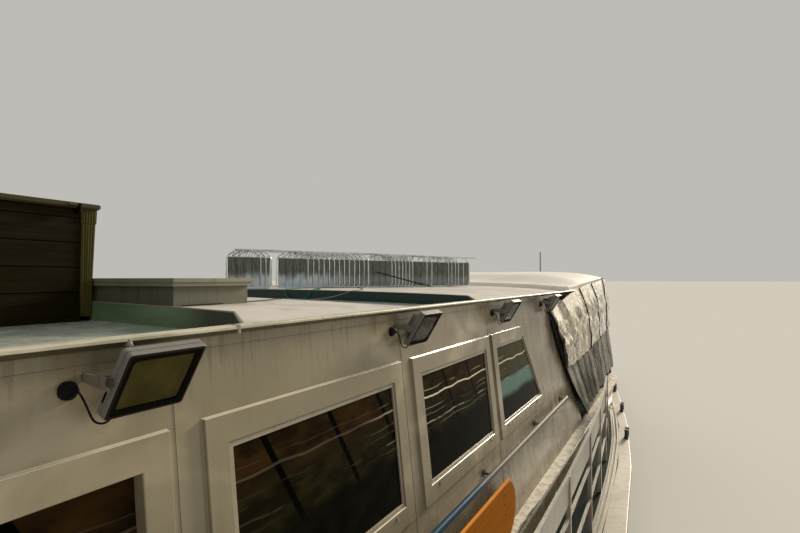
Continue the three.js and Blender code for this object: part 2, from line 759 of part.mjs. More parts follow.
// Low wall round the foredeck, with the ledge on top
const COAMING_FORE = 8900;
function planU(half, fore, from) {
  const xs = [from, CANOPY_TURN, 7300, 7900, 8300, 8550];
  const side = xs.map((x) => [x, -curveHalf(x, half, fore)]);
  const front = [[fore, -0.3 * half]];
  const starboard = [...side, ...front];
  const port = starboard.map(([x, y]) => [x, -y]).reverse();
  return [...starboard, ...port];
}
function curveHalf(x, half, fore) {
  if (x <= CANOPY_TURN) return half;
  return half * Math.sqrt(1 - ((x - CANOPY_TURN) / (fore - CANOPY_TURN)) ** 3);
}
function planRing(outer, inner, low, high) {
  return alongZ([...outer, ...inner.reverse()], low, high);
}
const coamingFrom = RAKE_FOOT_X + SEAT;
const coamingWall = planRing(
  planU(WALL_FOOT, COAMING_FORE, coamingFrom),
  planU(WALL_FOOT - WALL_THICK, COAMING_FORE - WALL_THICK, coamingFrom),
  DECK_Z,
  LEDGE_Z,
);
const coamingLedge = planRing(
  planU(WALL_FOOT + LEDGE_OUT, COAMING_FORE + LEDGE_OUT, coamingFrom),
  planU(WALL_FOOT - WALL_THICK - 30, COAMING_FORE - WALL_THICK - 30, coamingFrom),
  LEDGE_Z - 40,
  LEDGE_Z,
);
add("foredeck_coaming", cut(join(coamingWall, coamingLedge), underDeck), PAINT.cream, 0.4);

// Canopy posts on a sill rail
const sill = planRing(
  planU(WALL_FOOT - 5, COAMING_FORE - 5, coamingFrom + 80),
  planU(WALL_FOOT - 65, COAMING_FORE - 65, coamingFrom + 80),
  LEDGE_Z + SEAT,
  LEDGE_Z + 30,
);
const SILL_MIDDLE = [WALL_FOOT - 35, COAMING_FORE - 35];
// Columns: x of the foot, x of the head, y of the head, height of the head.
const POSTS = [
  [3700, 3700, 3150, ROOF_SEAT_Z],
  [5500, 5500, 3150, ROOF_SEAT_Z],
  [7300, 7300, 3078, canopyEdge(7300) - LIP_DEEP],
  [8300, 8050, 2378, canopyEdge(8050) - LIP_DEEP],
];
function canopyPost([footX, headX, headY, top], side) {
  const foot = side * curveHalf(footX, ...SILL_MIDDLE);
  const tube = rod([footX, foot, LEDGE_Z + 10], [headX, side * headY, top + 60], 28, 10);
  return cut(tube, box([headX - 200, headX + 200], [-3400, 3400], [top - SEAT, top + 200]));
}
const postPieces = POSTS.flatMap((row) => [canopyPost(row, -1), canopyPost(row, 1)]);
const frameLow = box([2000, 9500], [-4000, 4000], [1000, LEDGE_Z + SEAT]);
const canopyDown = raised(canopy, -SEAT);
const canopyFrame = cut(join(sill, ...postPieces), frameLow, roofDown, canopyDown);
add("canopy_frame", canopyFrame, 0x8a8578, 0.4, 0.6);

// Tarpaulin screens hung round the foredeck, each from the saloon's raked edge to the front
const TARP_THICK = 18;
const TARP_FOOT_Z = 1760; // round the bow
// Columns: x and height of the foot, x and height of the head.
const TARP_SIDE = [
  [2800, 1600, 1170, 3250],
  [3500, 1650, 2300, 3380],
  [4400, 1700, 3700, 3420],
  [5600, 1740, 5200, 3420],
  [6500, TARP_FOOT_Z, 6450, 3420],
];
const TARP_TURN = [0.35, 0.55, 0.72, 0.86, 0.95];
function tarpSection(foot, head) {
  const out = TARP_THICK;
  const along = new THREE.Vector2(foot.nx, foot.ny);
  const top = new THREE.Vector2(head.nx, head.ny);
  return [
    [foot.x, foot.y, foot.z],
    [foot.x + along.x * out, foot.y + along.y * out, foot.z],
    [head.x + top.x * out, head.y + top.y * out, head.z],
    [head.x, head.y, head.z],
  ];
}
function tarpaulin() {
  const sections = TARP_SIDE.map(([footX, footZ, headX, headZ]) => {
    const foot = { x: footX, y: -(wallOuter(footZ) + SEAT), nx: 0, ny: -1, z: footZ };
    const head = { x: headX, y: -(wallOuter(headZ) + SEAT), nx: 0, ny: -1, z: headZ };
    return tarpSection(foot, head);
  });
  for (const share of TARP_TURN) {
    const point = (half, fore, z) => {
      const x = CANOPY_TURN + share * (fore - CANOPY_TURN);
      const y = -half * Math.sqrt(1 - share ** 3);
      const nx = share ** 2 * 1.6;
      const size = Math.hypot(nx, 1 - share * 0.6);
      return { x, y, nx: nx / size, ny: -(1 - share * 0.6) / size, z };
    };
    const foot = point(wallOuter(TARP_FOOT_Z) + 16, COAMING_FORE + 12, TARP_FOOT_Z);
    const head = point(CANOPY_HALF + 30, CANOPY_FORE + 40, 3560);
    sections.push(tarpSection(foot, head));
  }
  return sections;
}
addPair("tarpaulin", loft(tarpaulin()), 0x8c8870, 0.8);

// Handrail tube on stand-off brackets along each side
const HAND_Z = 2125;
const HAND_Y = wallOuter(HAND_Z) + 85;
const HAND_AFT = -12600;
const HAND_FORE = 1350;
const BRACKET_PITCH = 2060;
const brackets = [];
const HAND_WALL = wallOuter(HAND_Z);
for (let x = 860; x > HAND_AFT; x -= BRACKET_PITCH) {
  brackets.push(rod([x, -HAND_Y, HAND_Z], [x, -HAND_WALL - 14, HAND_Z], 13, 6));
  brackets.push(rod([x, -HAND_WALL - 20, HAND_Z], [x, -HAND_WALL + 10, HAND_Z], 34, 8));
}
const handTube = rod([HAND_AFT, -HAND_Y, HAND_Z], [HAND_FORE, -HAND_Y, HAND_Z], 23, 8);
addPair("handrail", cut(join(handTube, ...brackets), behindWall), 0x2b4a66, 0.35, 0.3);

// Blank varnished board that stands on the ledge
const BOARD_LOW = LEDGE_Z + SEAT;
const BOARD_HIGH = 1975;
const BOARD_FORE = -1300;
const BOARD_LONG = 2900;
function boardOutline() {
  const radius = (BOARD_HIGH - BOARD_LOW) / 2;
  const middle = BOARD_LOW + radius;
  const arc = (centre, from) =>
    Array.from({ length: 9 }, (_, i) => {
      const angle = from + (i * Math.PI) / 8;
      return [centre + radius * Math.cos(angle), middle + radius * Math.sin(angle)];
    });
  const fore = arc(BOARD_FORE - radius, -Math.PI / 2);
  const aft = arc(BOARD_FORE - BOARD_LONG + radius, Math.PI / 2);
  return [...fore, ...aft];
}
add("name_board", alongY(boardOutline(), -WALL_FOOT - 62, -WALL_FOOT - 30), 0xc87a1e, 0.3);

// Floodlights on stirrups, joined by the cable trunking under the roof trim
const LAMP_PITCH = 1960;
const LAMP_FORE = 1000; // centre of the foremost lamp
const LAMPS = 4;
const LAMP_HALF = 140;
const TRUNK_TOP = ROOF_SEAT_Z - SEAT;
const LAMP_LEAN = 0.54; // the glass faces down by this angle
const LAMP_MIDDLE = [-3360, 3384]; // y and z of the middle of the glass
const ARM_Z = 3406;
// Columns: distance behind the glass, distance up the glass.
const LAMP_SIDE = [
  [0, -117],
  [0, 117],
  [36, 117],
  [42, 100],
  [75, 62],
  [75, -62],
  [42, -100],
  [36, -117],
];
function floodlight(x) {
  const wall = -wallOuter(ARM_Z) + 10;
  const outline = LAMP_SIDE.map(([back, up]) => [
    LAMP_MIDDLE[0] - up * Math.sin(LAMP_LEAN) + back * Math.cos(LAMP_LEAN),
    LAMP_MIDDLE[1] + up * Math.cos(LAMP_LEAN) + back * Math.sin(LAMP_LEAN),
  ]);
  const armOut = LAMP_MIDDLE[0] + 12;
  const arms = [x - LAMP_HALF - 11, x + LAMP_HALF + 5].map((from) => {
    return box([from, from + 6], [armOut, wall], [ARM_Z - 13, ARM_Z + 13]);
  });
  const bolt = rod([x - LAMP_HALF - 11, armOut + 16, ARM_Z], [x + LAMP_HALF + 11, armOut + 16, ARM_Z], 8, 6);
  const plate = box([x - LAMP_HALF - 11, x + LAMP_HALF + 11], [wall - 17, wall], [ARM_Z - 13, TRUNK_TOP]);
  return join(alongX(outline, x - LAMP_HALF, x + LAMP_HALF), ...arms, bolt, plate);
}
const trunking = box(
  [LAMP_FORE - (LAMPS - 1) * LAMP_PITCH - LAMP_HALF, LAMP_FORE + LAMP_HALF],
  [-wallOuter(TRUNK_TOP) - 12, -wallOuter(TRUNK_TOP) + 10],
  [TRUNK_TOP - 16, TRUNK_TOP],
);
const lamps = Array.from({ length: LAMPS }, (_, i) => floodlight(LAMP_FORE - i * LAMP_PITCH));
addPair("floodlights", cut(join(trunking, ...lamps), behindWall), 0x6b6b70, 0.4, 0.3);

// Side rails: posts, top rail, panel under it and two bars, inboard of the guard
const RAIL_IN = 370;
const RAIL_IN_AFT = 500; // by the boarding gates
const RAIL_TOP = 2010;
// Posts; the bars bend only at those of the tapering ends.
const POST_XS = [-13380, -11900, -10450, -9000, -7450, -5900, -4300, -2750, -1200, 250, 1500, 2800, 4000];
const BEND_XS = POST_XS.filter((x) => x <= -9000 || x > BOW_TURN_X);
function railHalf(x) {
  const aft = Math.max((-9000 - x) / (13380 - 9000), 0);
  return edgeHalf(x) - RAIL_IN - (RAIL_IN_AFT - RAIL_IN) * aft;
}
function railLine(half, low, high) {
  return BEND_XS.map((x) => {
    const y = -railHalf(x);
    return [
      [x, y - half, low],
      [x, y + half, low],
      [x, y + half, high],
      [x, y - half, high],
    ];
  });
}
const railPosts = POST_XS.map((x) => {
  const y = -railHalf(x);
  return box([x - 20, x + 20], [y - 20, y + 20], [DECK_Z - 10, RAIL_TOP - 10]);
});
const railBars = [
  loft(railLine(14, RAIL_TOP - 40, RAIL_TOP)),
  loft(railLine(6, RAIL_TOP - 250, RAIL_TOP - 20)),
  loft(railLine(12, 1620, 1650)),
  loft(railLine(12, 1250, 1280)),
];
addPair("side_rail", cut(join(...railBars, ...railPosts), underDeck), PAINT.pale, 0.4, 0.4);

// Boarding gates in the rails by the after deck
const GATE_X = [-14600, -13500];
const gateY = edgeHalf(-14000) - RAIL_IN_AFT - 60;
function gate() {
  const [aft, fore] = GATE_X;
  const bars = [RAIL_TOP - 28, 1700, 1400, 1100].map((z) => {
    return box([aft + 20, fore - 20], [-gateY - 14, -gateY + 14], [z, z + 28]);
  });
  const ends = [aft + 20, fore - 60].map((x) => {
    return box([x, x + 40], [-gateY - 20, -gateY + 20], [1080, RAIL_TOP]);
  });
  const pivot = rod([fore - 40, -gateY, DECK_Z + SEAT], [fore - 40, -gateY, 1100], 14);
  return join(...bars, ...ends, pivot);
}
addPair("boarding_gate", gate(), PAINT.pale, 0.4, 0.4);

// Rail round the stern
const STERN_Y = 3130;
const sternPosts = [
  [-14680, -gateY],
  [-15300, -STERN_Y],
  [-15300, -1600],
  [-15300, 0],
  [-15300, 1600],
  [-15300, STERN_Y],
  [-14680, gateY],
];
const sternPieces = sternPosts.map(([x, y]) => {
  return box([x - 20, x + 20], [y - 20, y + 20], [DECK_Z + SEAT, RAIL_TOP - 10]);
});
for (const z of [RAIL_TOP - 20, 1492]) {
  for (let i = 0; i + 1 < sternPosts.length; i += 1) {
    sternPieces.push(rod([...sternPosts[i], z], [...sternPosts[i + 1], z], z > 1900 ? 26 : 14, 8));
  }
}
add("stern_rail", join(...sternPieces), PAINT.pale, 0.4, 0.4);

// Stern-wheel beams with their bearing blocks
const BEAM_TOP = 1200;
const BEAM_FORE = -14700;
function wheelBeam() {
  const across = [-BEAM_Y - 100, -BEAM_Y + 100];
  const girder = box([WHEEL_X - 500, BEAM_FORE], across, [DECK_Z + SEAT, BEAM_TOP]);
  const outline = [
    [WHEEL_X - 300, BEAM_TOP - 5],
    [WHEEL_X + 300, BEAM_TOP - 5],
    [WHEEL_X + 180, WHEEL_Z + 180],
    [WHEEL_X - 180, WHEEL_Z + 180],
  ];
  const block = alongY(outline, -BEAM_Y - 90, -BEAM_Y + 90);
  const bore = rod([WHEEL_X, -BEAM_Y - 200, WHEEL_Z], [WHEEL_X, -BEAM_Y + 200, WHEEL_Z], SHAFT_R + 3, 24);
  return cut(join(girder, block), bore);
}
addPair("wheel_beam", wheelBeam(), 0x5c2d22, 0.5);

// Paddle wheel: three spoked frames that carry the floats
const FRAME_YS = [-WHEEL_HALF + 60, 0, WHEEL_HALF - 60];
function paddleWheel() {
  const at = (radius, angle) => [WHEEL_X + radius * Math.cos(angle), WHEEL_Z + radius * Math.sin(angle)];
  const pieces = [rod([WHEEL_X, -3120, WHEEL_Z], [WHEEL_X, 3120, WHEEL_Z], SHAFT_R, 16)];
  const collarIn = BEAM_Y - 90 - SEAT;
  pieces.push(rod([WHEEL_X, -collarIn, WHEEL_Z], [WHEEL_X, -WHEEL_HALF, WHEEL_Z], 150, 16));
  pieces.push(rod([WHEEL_X, collarIn, WHEEL_Z], [WHEEL_X, WHEEL_HALF, WHEEL_Z], 150, 16));
  for (const y of FRAME_YS) {
    pieces.push(rod([WHEEL_X, y - 60, WHEEL_Z], [WHEEL_X, y + 60, WHEEL_Z], 280, 12));
    pieces.push(hoop(WHEEL_X, y, WHEEL_Z, 1640, 1700, 50, 36));
  }
  pieces.push(hoop(WHEEL_X, FRAME_YS[0], WHEEL_Z, 1130, 1190, 50, 36));
  pieces.push(hoop(WHEEL_X, FRAME_YS[2], WHEEL_Z, 1130, 1190, 50, 36));
  for (let i = 0; i < FLOATS; i += 1) {
    const angle = ((i + 0.5) * 2 * Math.PI) / FLOATS;
    const arm = (inner, outer, half) => {
      const across = [-Math.sin(angle) * half, Math.cos(angle) * half];
      const a = at(inner, angle);
      const b = at(outer, angle);
      return [
        [a[0] - across[0], a[1] - across[1]],
        [b[0] - across[0], b[1] - across[1]],
        [b[0] + across[0], b[1] + across[1]],
        [a[0] + across[0], a[1] + across[1]],
      ];
    };
    for (const y of FRAME_YS) {
      pieces.push(alongY(arm(200, WHEEL_R - 20, 45), y - 20, y + 20));
    }
    pieces.push(alongY(arm(WHEEL_R - 420, WHEEL_R, 24), -WHEEL_HALF, WHEEL_HALF));
  }
  return join(...pieces);
}
add("paddle_wheel", paddleWheel(), 0x7c2a20, 0.55);

// Rudders hung on the transom, with lugs that carry their stocks
const RUDDER_Y = 1500;
const STOCK_X = TRANSOM_X - 150;
const STOCK_R = 45;
const LUGS_Z = [300, 700];
function rudderHanger(side) {
  const y = side * RUDDER_Y;
  const lugs = LUGS_Z.map((z) => box([STOCK_X - 80, TRANSOM_X + 16], [y - 80, y + 80], [z, z + 50]));
  const plate = box([TRANSOM_X - 16, TRANSOM_X + 10], [y - 120, y + 120], [260, 800]);
  const bore = rod([STOCK_X, y, 200], [STOCK_X, y, 900], STOCK_R + 2, 16);
  return cut(join(plate, ...lugs), bore);
}
add("hull", join(hullShell, rudderHanger(-1), rudderHanger(1)), 0x2b3a34, 0.45);

function rudder() {
  const stock = rod([STOCK_X, -RUDDER_Y, -900], [STOCK_X, -RUDDER_Y, 830], STOCK_R, 16);
  const collar = rod([STOCK_X, -RUDDER_Y, LUGS_Z[1] + 50 + SEAT], [STOCK_X, -RUDDER_Y, 810], 62, 16);
  const outline = [
    [STOCK_X, -880],
    [STOCK_X - 640, -880],
    [STOCK_X - 760, -500],
    [STOCK_X - 760, -40],
    [STOCK_X, 60],
  ];
  const blade = alongY(outline, -RUDDER_Y - 22, -RUDDER_Y + 22);
  const tiller = box([STOCK_X - 40, STOCK_X + 60], [-RUDDER_Y - 24, -RUDDER_Y + 24], [790, 830]);
  return join(stock, collar, blade, tiller);
}
addPair("rudder", rudder(), 0x5c2d22, 0.55);

// Wheelhouse on the roof
const HOUSE_X = [-9500, -7500];
const HOUSE_HALF = 1100;
const HOUSE_TOP = 5700;
const HOUSE_WALL = 45;
const HOUSE_DOOR_X = [-8750, -8050];
const houseBlock = box(HOUSE_X, [-HOUSE_HALF, HOUSE_HALF], [3480, HOUSE_TOP]);
const houseHollow = box(
  [HOUSE_X[0] + HOUSE_WALL, HOUSE_X[1] - HOUSE_WALL],
  [-HOUSE_HALF + HOUSE_WALL, HOUSE_HALF - HOUSE_WALL],
  [3400, HOUSE_TOP + 10],
);
const BAND_Z = [4600, 5450];
const houseWindows = [
  box([HOUSE_X[1] - 200, HOUSE_X[1] + 50], [-980, -360], BAND_Z),
  box([HOUSE_X[1] - 200, HOUSE_X[1] + 50], [-300, 300], BAND_Z),
  box([HOUSE_X[1] - 200, HOUSE_X[1] + 50], [360, 980], BAND_Z),
  box([HOUSE_X[0] - 50, HOUSE_X[0] + 200], [-980, -60], BAND_Z),
  box([HOUSE_X[0] - 50, HOUSE_X[0] + 200], [60, 980], BAND_Z),
  box([-7960, -7620], [-HOUSE_HALF - 50, HOUSE_HALF + 50], BAND_Z),
  box([-9380, -8850], [-HOUSE_HALF - 50, HOUSE_HALF + 50], BAND_Z),
];
const HOUSE_DOOR_Z = [3640, 5520];
const houseDoorway = box(HOUSE_DOOR_X, [-HOUSE_HALF - 50, HOUSE_HALF + 50], HOUSE_DOOR_Z);
const houseShell = cut(houseBlock, houseHollow, ...houseWindows, houseDoorway);
add("wheelhouse", cut(houseShell, roofUp), PAINT.cream, 0.35);

const houseRoofOutline = [
  [-HOUSE_HALF - 120, HOUSE_TOP + SEAT],
  [HOUSE_HALF + 120, HOUSE_TOP + SEAT],
  [HOUSE_HALF + 120, HOUSE_TOP + 40],
  [HOUSE_HALF * 0.5, HOUSE_TOP + 95],
  [-HOUSE_HALF * 0.5, HOUSE_TOP + 95],
  [-HOUSE_HALF - 120, HOUSE_TOP + 40],
];
const houseRoof = alongX(houseRoofOutline, HOUSE_X[0] - 120, HOUSE_X[1] + 180);

// Wheelhouse glass: a sheet bent round the front, another round the back
function houseGlass(fore) {
  const inY = HOUSE_HALF - HOUSE_WALL - SEAT;
  const [low, high] = [BAND_Z[0] - 40, BAND_Z[1] + 40];
  const end = fore ? HOUSE_X[1] - HOUSE_WALL - SEAT : HOUSE_X[0] + HOUSE_WALL + SEAT;
  const stop = fore ? -8000 : -8800;
  const [a, b] = fore ? [stop, end] : [end, stop];
  const outer = box([a, b], [-inY, inY], [low, high]);
  const [c, d] = fore ? [stop - 50, end - 8] : [end + 8, stop + 50];
  return cut(outer, box([c, d], [-inY + 8, inY - 8], [low - 10, high + 10]));
}
add("wheelhouse_glass_fore", houseGlass(true), 0x14110c, 0.08);
add("wheelhouse_glass_aft", houseGlass(false), 0x14110c, 0.08);

function houseDoor() {
  const [aft, fore] = HOUSE_DOOR_X;
  const [low, high] = HOUSE_DOOR_Z;
  const y = [-HOUSE_HALF + 2, -HOUSE_HALF + 38];
  const pinX = fore - DOOR_PIN_IN;
  const panel = box([aft + DOOR_GAP, fore - DOOR_EDGE_IN], y, [low + DOOR_GAP, high - DOOR_GAP]);
  const pane = box([aft + 110, fore - 120], [y[0] - 20, y[1] + 20], [BAND_Z[0], BAND_Z[1] - 60]);
  const pivot = rod([pinX, -HOUSE_HALF + 20, low + SEAT], [pinX, -HOUSE_HALF + 20, high - SEAT], 9);
  return join(cut(panel, pane), pivot);
}
addPair("wheelhouse_door", houseDoor(), 0x6b4a2a, 0.4);

// Helm: stand against the forward wall and a spoked wheel on a shaft along X
const HELM_Z = 4560;
const HELM_X = -7900;
const helmStand = join(
  box([-7780, HOUSE_X[1] - HOUSE_WALL - SEAT], [-700, 700], [3480, 4480]),
  box([-7820, -7680], [-130, 130], [4400, 4700]),
);
add("helm_stand", cut(helmStand, roofUp), 0x4a3220, 0.5);
function helmWheel() {
  const rim = hoop(0, 0, 0, 280, 312, 34, 24);
  const pieces = [rim, rod([0, -35, 0], [0, 80 - SEAT, 0], 45, 16)];
  for (let i = 0; i < 8; i += 1) {
    const angle = (i * Math.PI) / 4;
    pieces.push(rod([0, 0, 0], [400 * Math.cos(angle), 0, 400 * Math.sin(angle)], 14, 6));
  }
  // The hub's shaft points forward to the stand.
  return join(...pieces).rotateZ(-Math.PI / 2).translate(HELM_X, 0, HELM_Z);
}
add("helm_wheel", helmWheel(), 0x7a4a22, 0.4);

// Signal mast hinged at its foot on the wheelhouse roof
const MAST_X = -8300;
const MAST_FOOT = HOUSE_TOP + 95;
const MAST_PIN = [MAST_X - 90, MAST_FOOT + 60];
const mastEars = [-1, 1].map((side) => {
  const y = side * 62;
  return box([MAST_PIN[0] - 30, MAST_PIN[0] + 30], [y - 10, y + 10], [MAST_FOOT + 5, MAST_PIN[1] + 30]);
});
const mastShoe = join(box([MAST_X - 130, MAST_X + 90], [-90, 90], [MAST_FOOT - 10, MAST_FOOT + 14]), ...mastEars);
add("wheelhouse_roof", join(houseRoof, mastShoe), 0xd8d2c0, 0.5);
const mastPieces = [
  rod([MAST_X, 0, MAST_FOOT + 14 + SEAT], [MAST_X, 0, MAST_FOOT + 1450], 34, 12),
  rod([MAST_X, -380, MAST_FOOT + 1100], [MAST_X, 380, MAST_FOOT + 1100], 18, 8),
  rod([MAST_X, 0, MAST_FOOT + 1400], [MAST_X, 0, MAST_FOOT + 1520], 60, 12),
  rod([MAST_PIN[0], -52 + SEAT, MAST_PIN[1]], [MAST_PIN[0], 52 - SEAT, MAST_PIN[1]], 16, 12),
  box([MAST_PIN[0], MAST_X], [-30, 30], [MAST_PIN[1] - 14, MAST_PIN[1] + 14]),
];
add("signal_mast", join(...mastPieces), PAINT.pale, 0.4, 0.3);

// Funnel, hinged at the after side of its base to pass under bridges
const FUNNEL_X = -11200;
const FUNNEL_R = 340;
const FUNNEL_BASE = 3950;
const FUNNEL_HIGH = 2700;
const FUNNEL_PIN = [FUNNEL_X - FUNNEL_R - 110, FUNNEL_BASE + 30];
const baseBlock = rod([FUNNEL_X, 0, 3500], [FUNNEL_X, 0, FUNNEL_BASE], FUNNEL_R + 70, 32);
const funnelEars = [-1, 1].map((side) => {
  const y = side * 262;
  const x = FUNNEL_PIN[0];
  return box([x - 32, FUNNEL_X - 100], [y - 12, y + 12], [FUNNEL_BASE - 120, FUNNEL_BASE + 64]);
});
const baseEarTrim = box(
  [FUNNEL_X - FUNNEL_R - 60, FUNNEL_X + 500],
  [-600, 600],
  [FUNNEL_BASE, FUNNEL_BASE + 300],
);
const funnelBase = cut(join(baseBlock, ...funnelEars), baseEarTrim, roofUp);
add("funnel_base", funnelBase, PAINT.dark, 0.5);

function funnel() {
  const flangeZ = FUNNEL_BASE + SEAT;
  const profile = [
    [FUNNEL_R - 16, 0],
    [FUNNEL_R + 40, 0],
    [FUNNEL_R + 40, 24],
    [FUNNEL_R, 24],
    [FUNNEL_R, FUNNEL_HIGH - 60],
    [FUNNEL_R + 22, FUNNEL_HIGH - 50],
    [FUNNEL_R + 22, FUNNEL_HIGH],
    [FUNNEL_R - 16, FUNNEL_HIGH],
    [FUNNEL_R - 16, 0],
  ];
  const points = profile.map(([r, h]) => new THREE.Vector2(r, h));
  const tube = new THREE.LatheGeometry(points, 32).rotateX(Math.PI / 2);
  const [x, z] = FUNNEL_PIN;
  const pin = rod([x, -250 + SEAT, z], [x, 250 - SEAT, z], 18, 12);
  const leaf = box([x, FUNNEL_X - FUNNEL_R + 8], [-150, 150], [z - 12, z + 12]);
  const bore = rod([FUNNEL_X, 0, FUNNEL_BASE - 50], [FUNNEL_X, 0, FUNNEL_BASE + 300], FUNNEL_R - 16, 32);
  return join(tube.translate(FUNNEL_X, 0, flangeZ), pin, cut(leaf, bore));
}
add("funnel", funnel(), 0x1f1f1f, 0.45);

// Boiler and engine, one plain block in the after part of the saloon
add("boiler_block", box([-12400, -10000], [-1000, 1000], [DECK_Z + SEAT, 2700]), 0x4a4a48, 0.6);

// Jackstaff at the bow and twin bollards on the foredeck
const STAFF_X = 14700;
const staff = join(
  rod([STAFF_X, 0, 1300], [STAFF_X, 0, 4740], 24, 10),
  rod([STAFF_X, 0, 1300], [STAFF_X, 0, 1760], 55, 12),
);
add("jackstaff", cut(staff, underDeck), 0xd8d2c0, 0.5);

const BOLLARD = { x: 11200, y: 1500, apart: 260, high: 420, radius: 90 };
function bollards() {
  const { x, y, apart, high, radius } = BOLLARD;
  const foot = deckZ(x + 400);
  const posts = [-1, 1].map((side) => {
    const px = x + side * apart;
    const head = rod([px, -y, foot + high - 40], [px, -y, foot + high], radius + 22, 16);
    return join(rod([px, -y, foot - 60], [px, -y, foot + high], radius, 16), head);
  });
  const plate = box([x - 460, x + 460], [-y - 150, -y + 150], [foot - 120, foot + 20]);
  return cut(join(plate, ...posts), underDeck);
}
addPair("bow_bollards", bollards(), 0x1c1c1c, 0.5);

export default boat;
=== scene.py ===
import json
import math
from functools import partial

import bmesh
import bpy
from mathutils import Matrix, Vector, noise

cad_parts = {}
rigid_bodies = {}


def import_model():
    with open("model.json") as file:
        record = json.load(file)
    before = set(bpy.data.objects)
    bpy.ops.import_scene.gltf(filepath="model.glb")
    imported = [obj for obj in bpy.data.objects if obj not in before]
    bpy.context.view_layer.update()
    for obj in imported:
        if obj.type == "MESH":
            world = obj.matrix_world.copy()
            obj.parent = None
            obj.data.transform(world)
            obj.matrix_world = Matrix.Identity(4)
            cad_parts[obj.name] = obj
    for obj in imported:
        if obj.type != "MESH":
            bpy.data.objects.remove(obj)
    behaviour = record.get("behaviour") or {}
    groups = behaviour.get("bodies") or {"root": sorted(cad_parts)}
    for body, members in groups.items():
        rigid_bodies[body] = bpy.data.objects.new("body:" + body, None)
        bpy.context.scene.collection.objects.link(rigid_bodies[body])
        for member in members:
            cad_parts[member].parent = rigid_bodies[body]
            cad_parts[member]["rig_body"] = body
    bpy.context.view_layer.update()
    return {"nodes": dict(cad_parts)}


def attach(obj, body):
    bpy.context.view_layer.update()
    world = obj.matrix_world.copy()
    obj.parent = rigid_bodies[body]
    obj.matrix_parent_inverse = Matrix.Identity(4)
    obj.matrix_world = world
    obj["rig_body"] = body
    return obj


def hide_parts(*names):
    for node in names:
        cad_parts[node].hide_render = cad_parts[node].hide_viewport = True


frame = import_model()

# Sizes in metres; X runs forward to the bow, Y to port and Z up, from the waterline on the centreline.
ROOF_HALF = 3.2
ROOF_Z = 3.5
CAMBER = 0.06
WALL_LEAN = 0.11
LEDGE_Z = 1.5
WINDOW_PITCH = 1.7
WINDOW_LONG = 1.33
WINDOW_LOW = 2.35
WINDOW_HIGH = 3.075
LAST_WINDOW_X = -2.121
SQUARE_WINDOWS = 6
BOTH_SIDES = (("starboard", -1), ("port", 1))


def wall_out(z):
    """How far the leaning side wall is from the centreline at a height."""
    return ROOF_HALF + (ROOF_Z - max(z, LEDGE_Z)) * WALL_LEAN


def roof_top(y):
    """Height of the cambered roof at a distance from the centreline."""
    return ROOF_Z + CAMBER * (1 - (y / ROOF_HALF) ** 2)


# Colour and node helpers
def paint(code):
    """An sRGB hex colour as the linear colour that shaders take."""
    channels = [int(code[i : i + 2], 16) / 255 for i in (1, 3, 5)]
    linear = [c / 12.92 if c <= 0.04045 else ((c + 0.055) / 1.055) ** 2.4 for c in channels]
    return (*linear, 1)


def per_metre(lump):
    """A pattern's scale from the size in millimetres of one of its lumps, before any stretch."""
    return 1000 / lump


# Node kinds: Blender's name, its settings, the inputs that are given in order, and the output used.
# A stretch of 7 makes a noise's lumps 7 times narrower that way. Grit, pores and weave finer than a few
# millimetres would not show from here, so each fine grain is drawn as coarse as it needs to show.
OBJECT_SPOT = ("ShaderNodeTexCoord", {}, (), "Object")
STRETCH = ("ShaderNodeMapping", {}, ("Vector", "Scale"), "Vector")
NOISE = ("ShaderNodeTexNoise", {}, ("Vector", "Scale", "Detail", "Roughness", "Distortion"), "Fac")
RAMP = (
    "ShaderNodeMapRange",
    {"interpolation_type": "SMOOTHSTEP"},
    ("Value", "From Min", "From Max"),
    "Result",
)
SPAN = ("ShaderNodeMapRange", {}, ("Value", "To Min", "To Max"), "Result")
MIX = ("ShaderNodeMix", {"data_type": "RGBA"}, (0, 6, 7), 2)
MULTIPLY, SUM, SUBTRACT, DIVIDE, ABSOLUTE, FLOOR, WRAP = [
    ("ShaderNodeMath", {"operation": sign}, (0, 1, 2), 0)
    for sign in ("MULTIPLY", "ADD", "SUBTRACT", "DIVIDE", "ABSOLUTE", "FLOOR", "WRAP")
]
SEPARATE = ("ShaderNodeSeparateXYZ", {}, (0,), None)
FACE_NORMAL = ("ShaderNodeNewGeometry", {}, (), "Normal")
CHANCE = ("ShaderNodeTexWhiteNoise", {"noise_dimensions": "1D"}, ("W",), "Value")
BUMP = ("ShaderNodeBump", {}, ("Height", "Strength", "Distance"), "Normal")
# The painted shade that each cloth point gets in its folds.
FOLD_SHADE_ATTRIBUTE = ("ShaderNodeAttribute", {"attribute_name": "fold_shade"}, (), "Fac")
CLEAR_THROUGH = ("ShaderNodeBsdfTransparent", {}, ("Color",), 0)
SHINE = ("ShaderNodeBsdfAnisotropic", {}, ("Roughness",), 0)
FRESNEL = ("ShaderNodeFresnel", {}, ("IOR",), 0)
MIX_SHADER = ("ShaderNodeMixShader", {}, (0, 1, 2), 0)
GROUP_INPUT = ("NodeGroupInput", {}, (), None)
GROUP_OUTPUT = ("NodeGroupOutput", {}, ("Copies",), None)
SCALED = ("ShaderNodeVectorMath", {"operation": "SCALE"}, (0, "Scale"), 0)
RANDOM_TILT = ("FunctionNodeRandomValue", {"data_type": "FLOAT_VECTOR"}, (0, 1, "Seed"), 0)
OBJECT_SHAPE = ("GeometryNodeObjectInfo", {}, ("Object",), "Geometry")
PUT_AT_POINTS = ("GeometryNodeInstanceOnPoints", {}, ("Points", "Instance", "Rotation"), 0)
REALIZE = ("GeometryNodeRealizeInstances", {}, ("Geometry",), 0)
SET_FINISH = ("GeometryNodeSetMaterial", {}, ("Geometry", "Material"), 0)


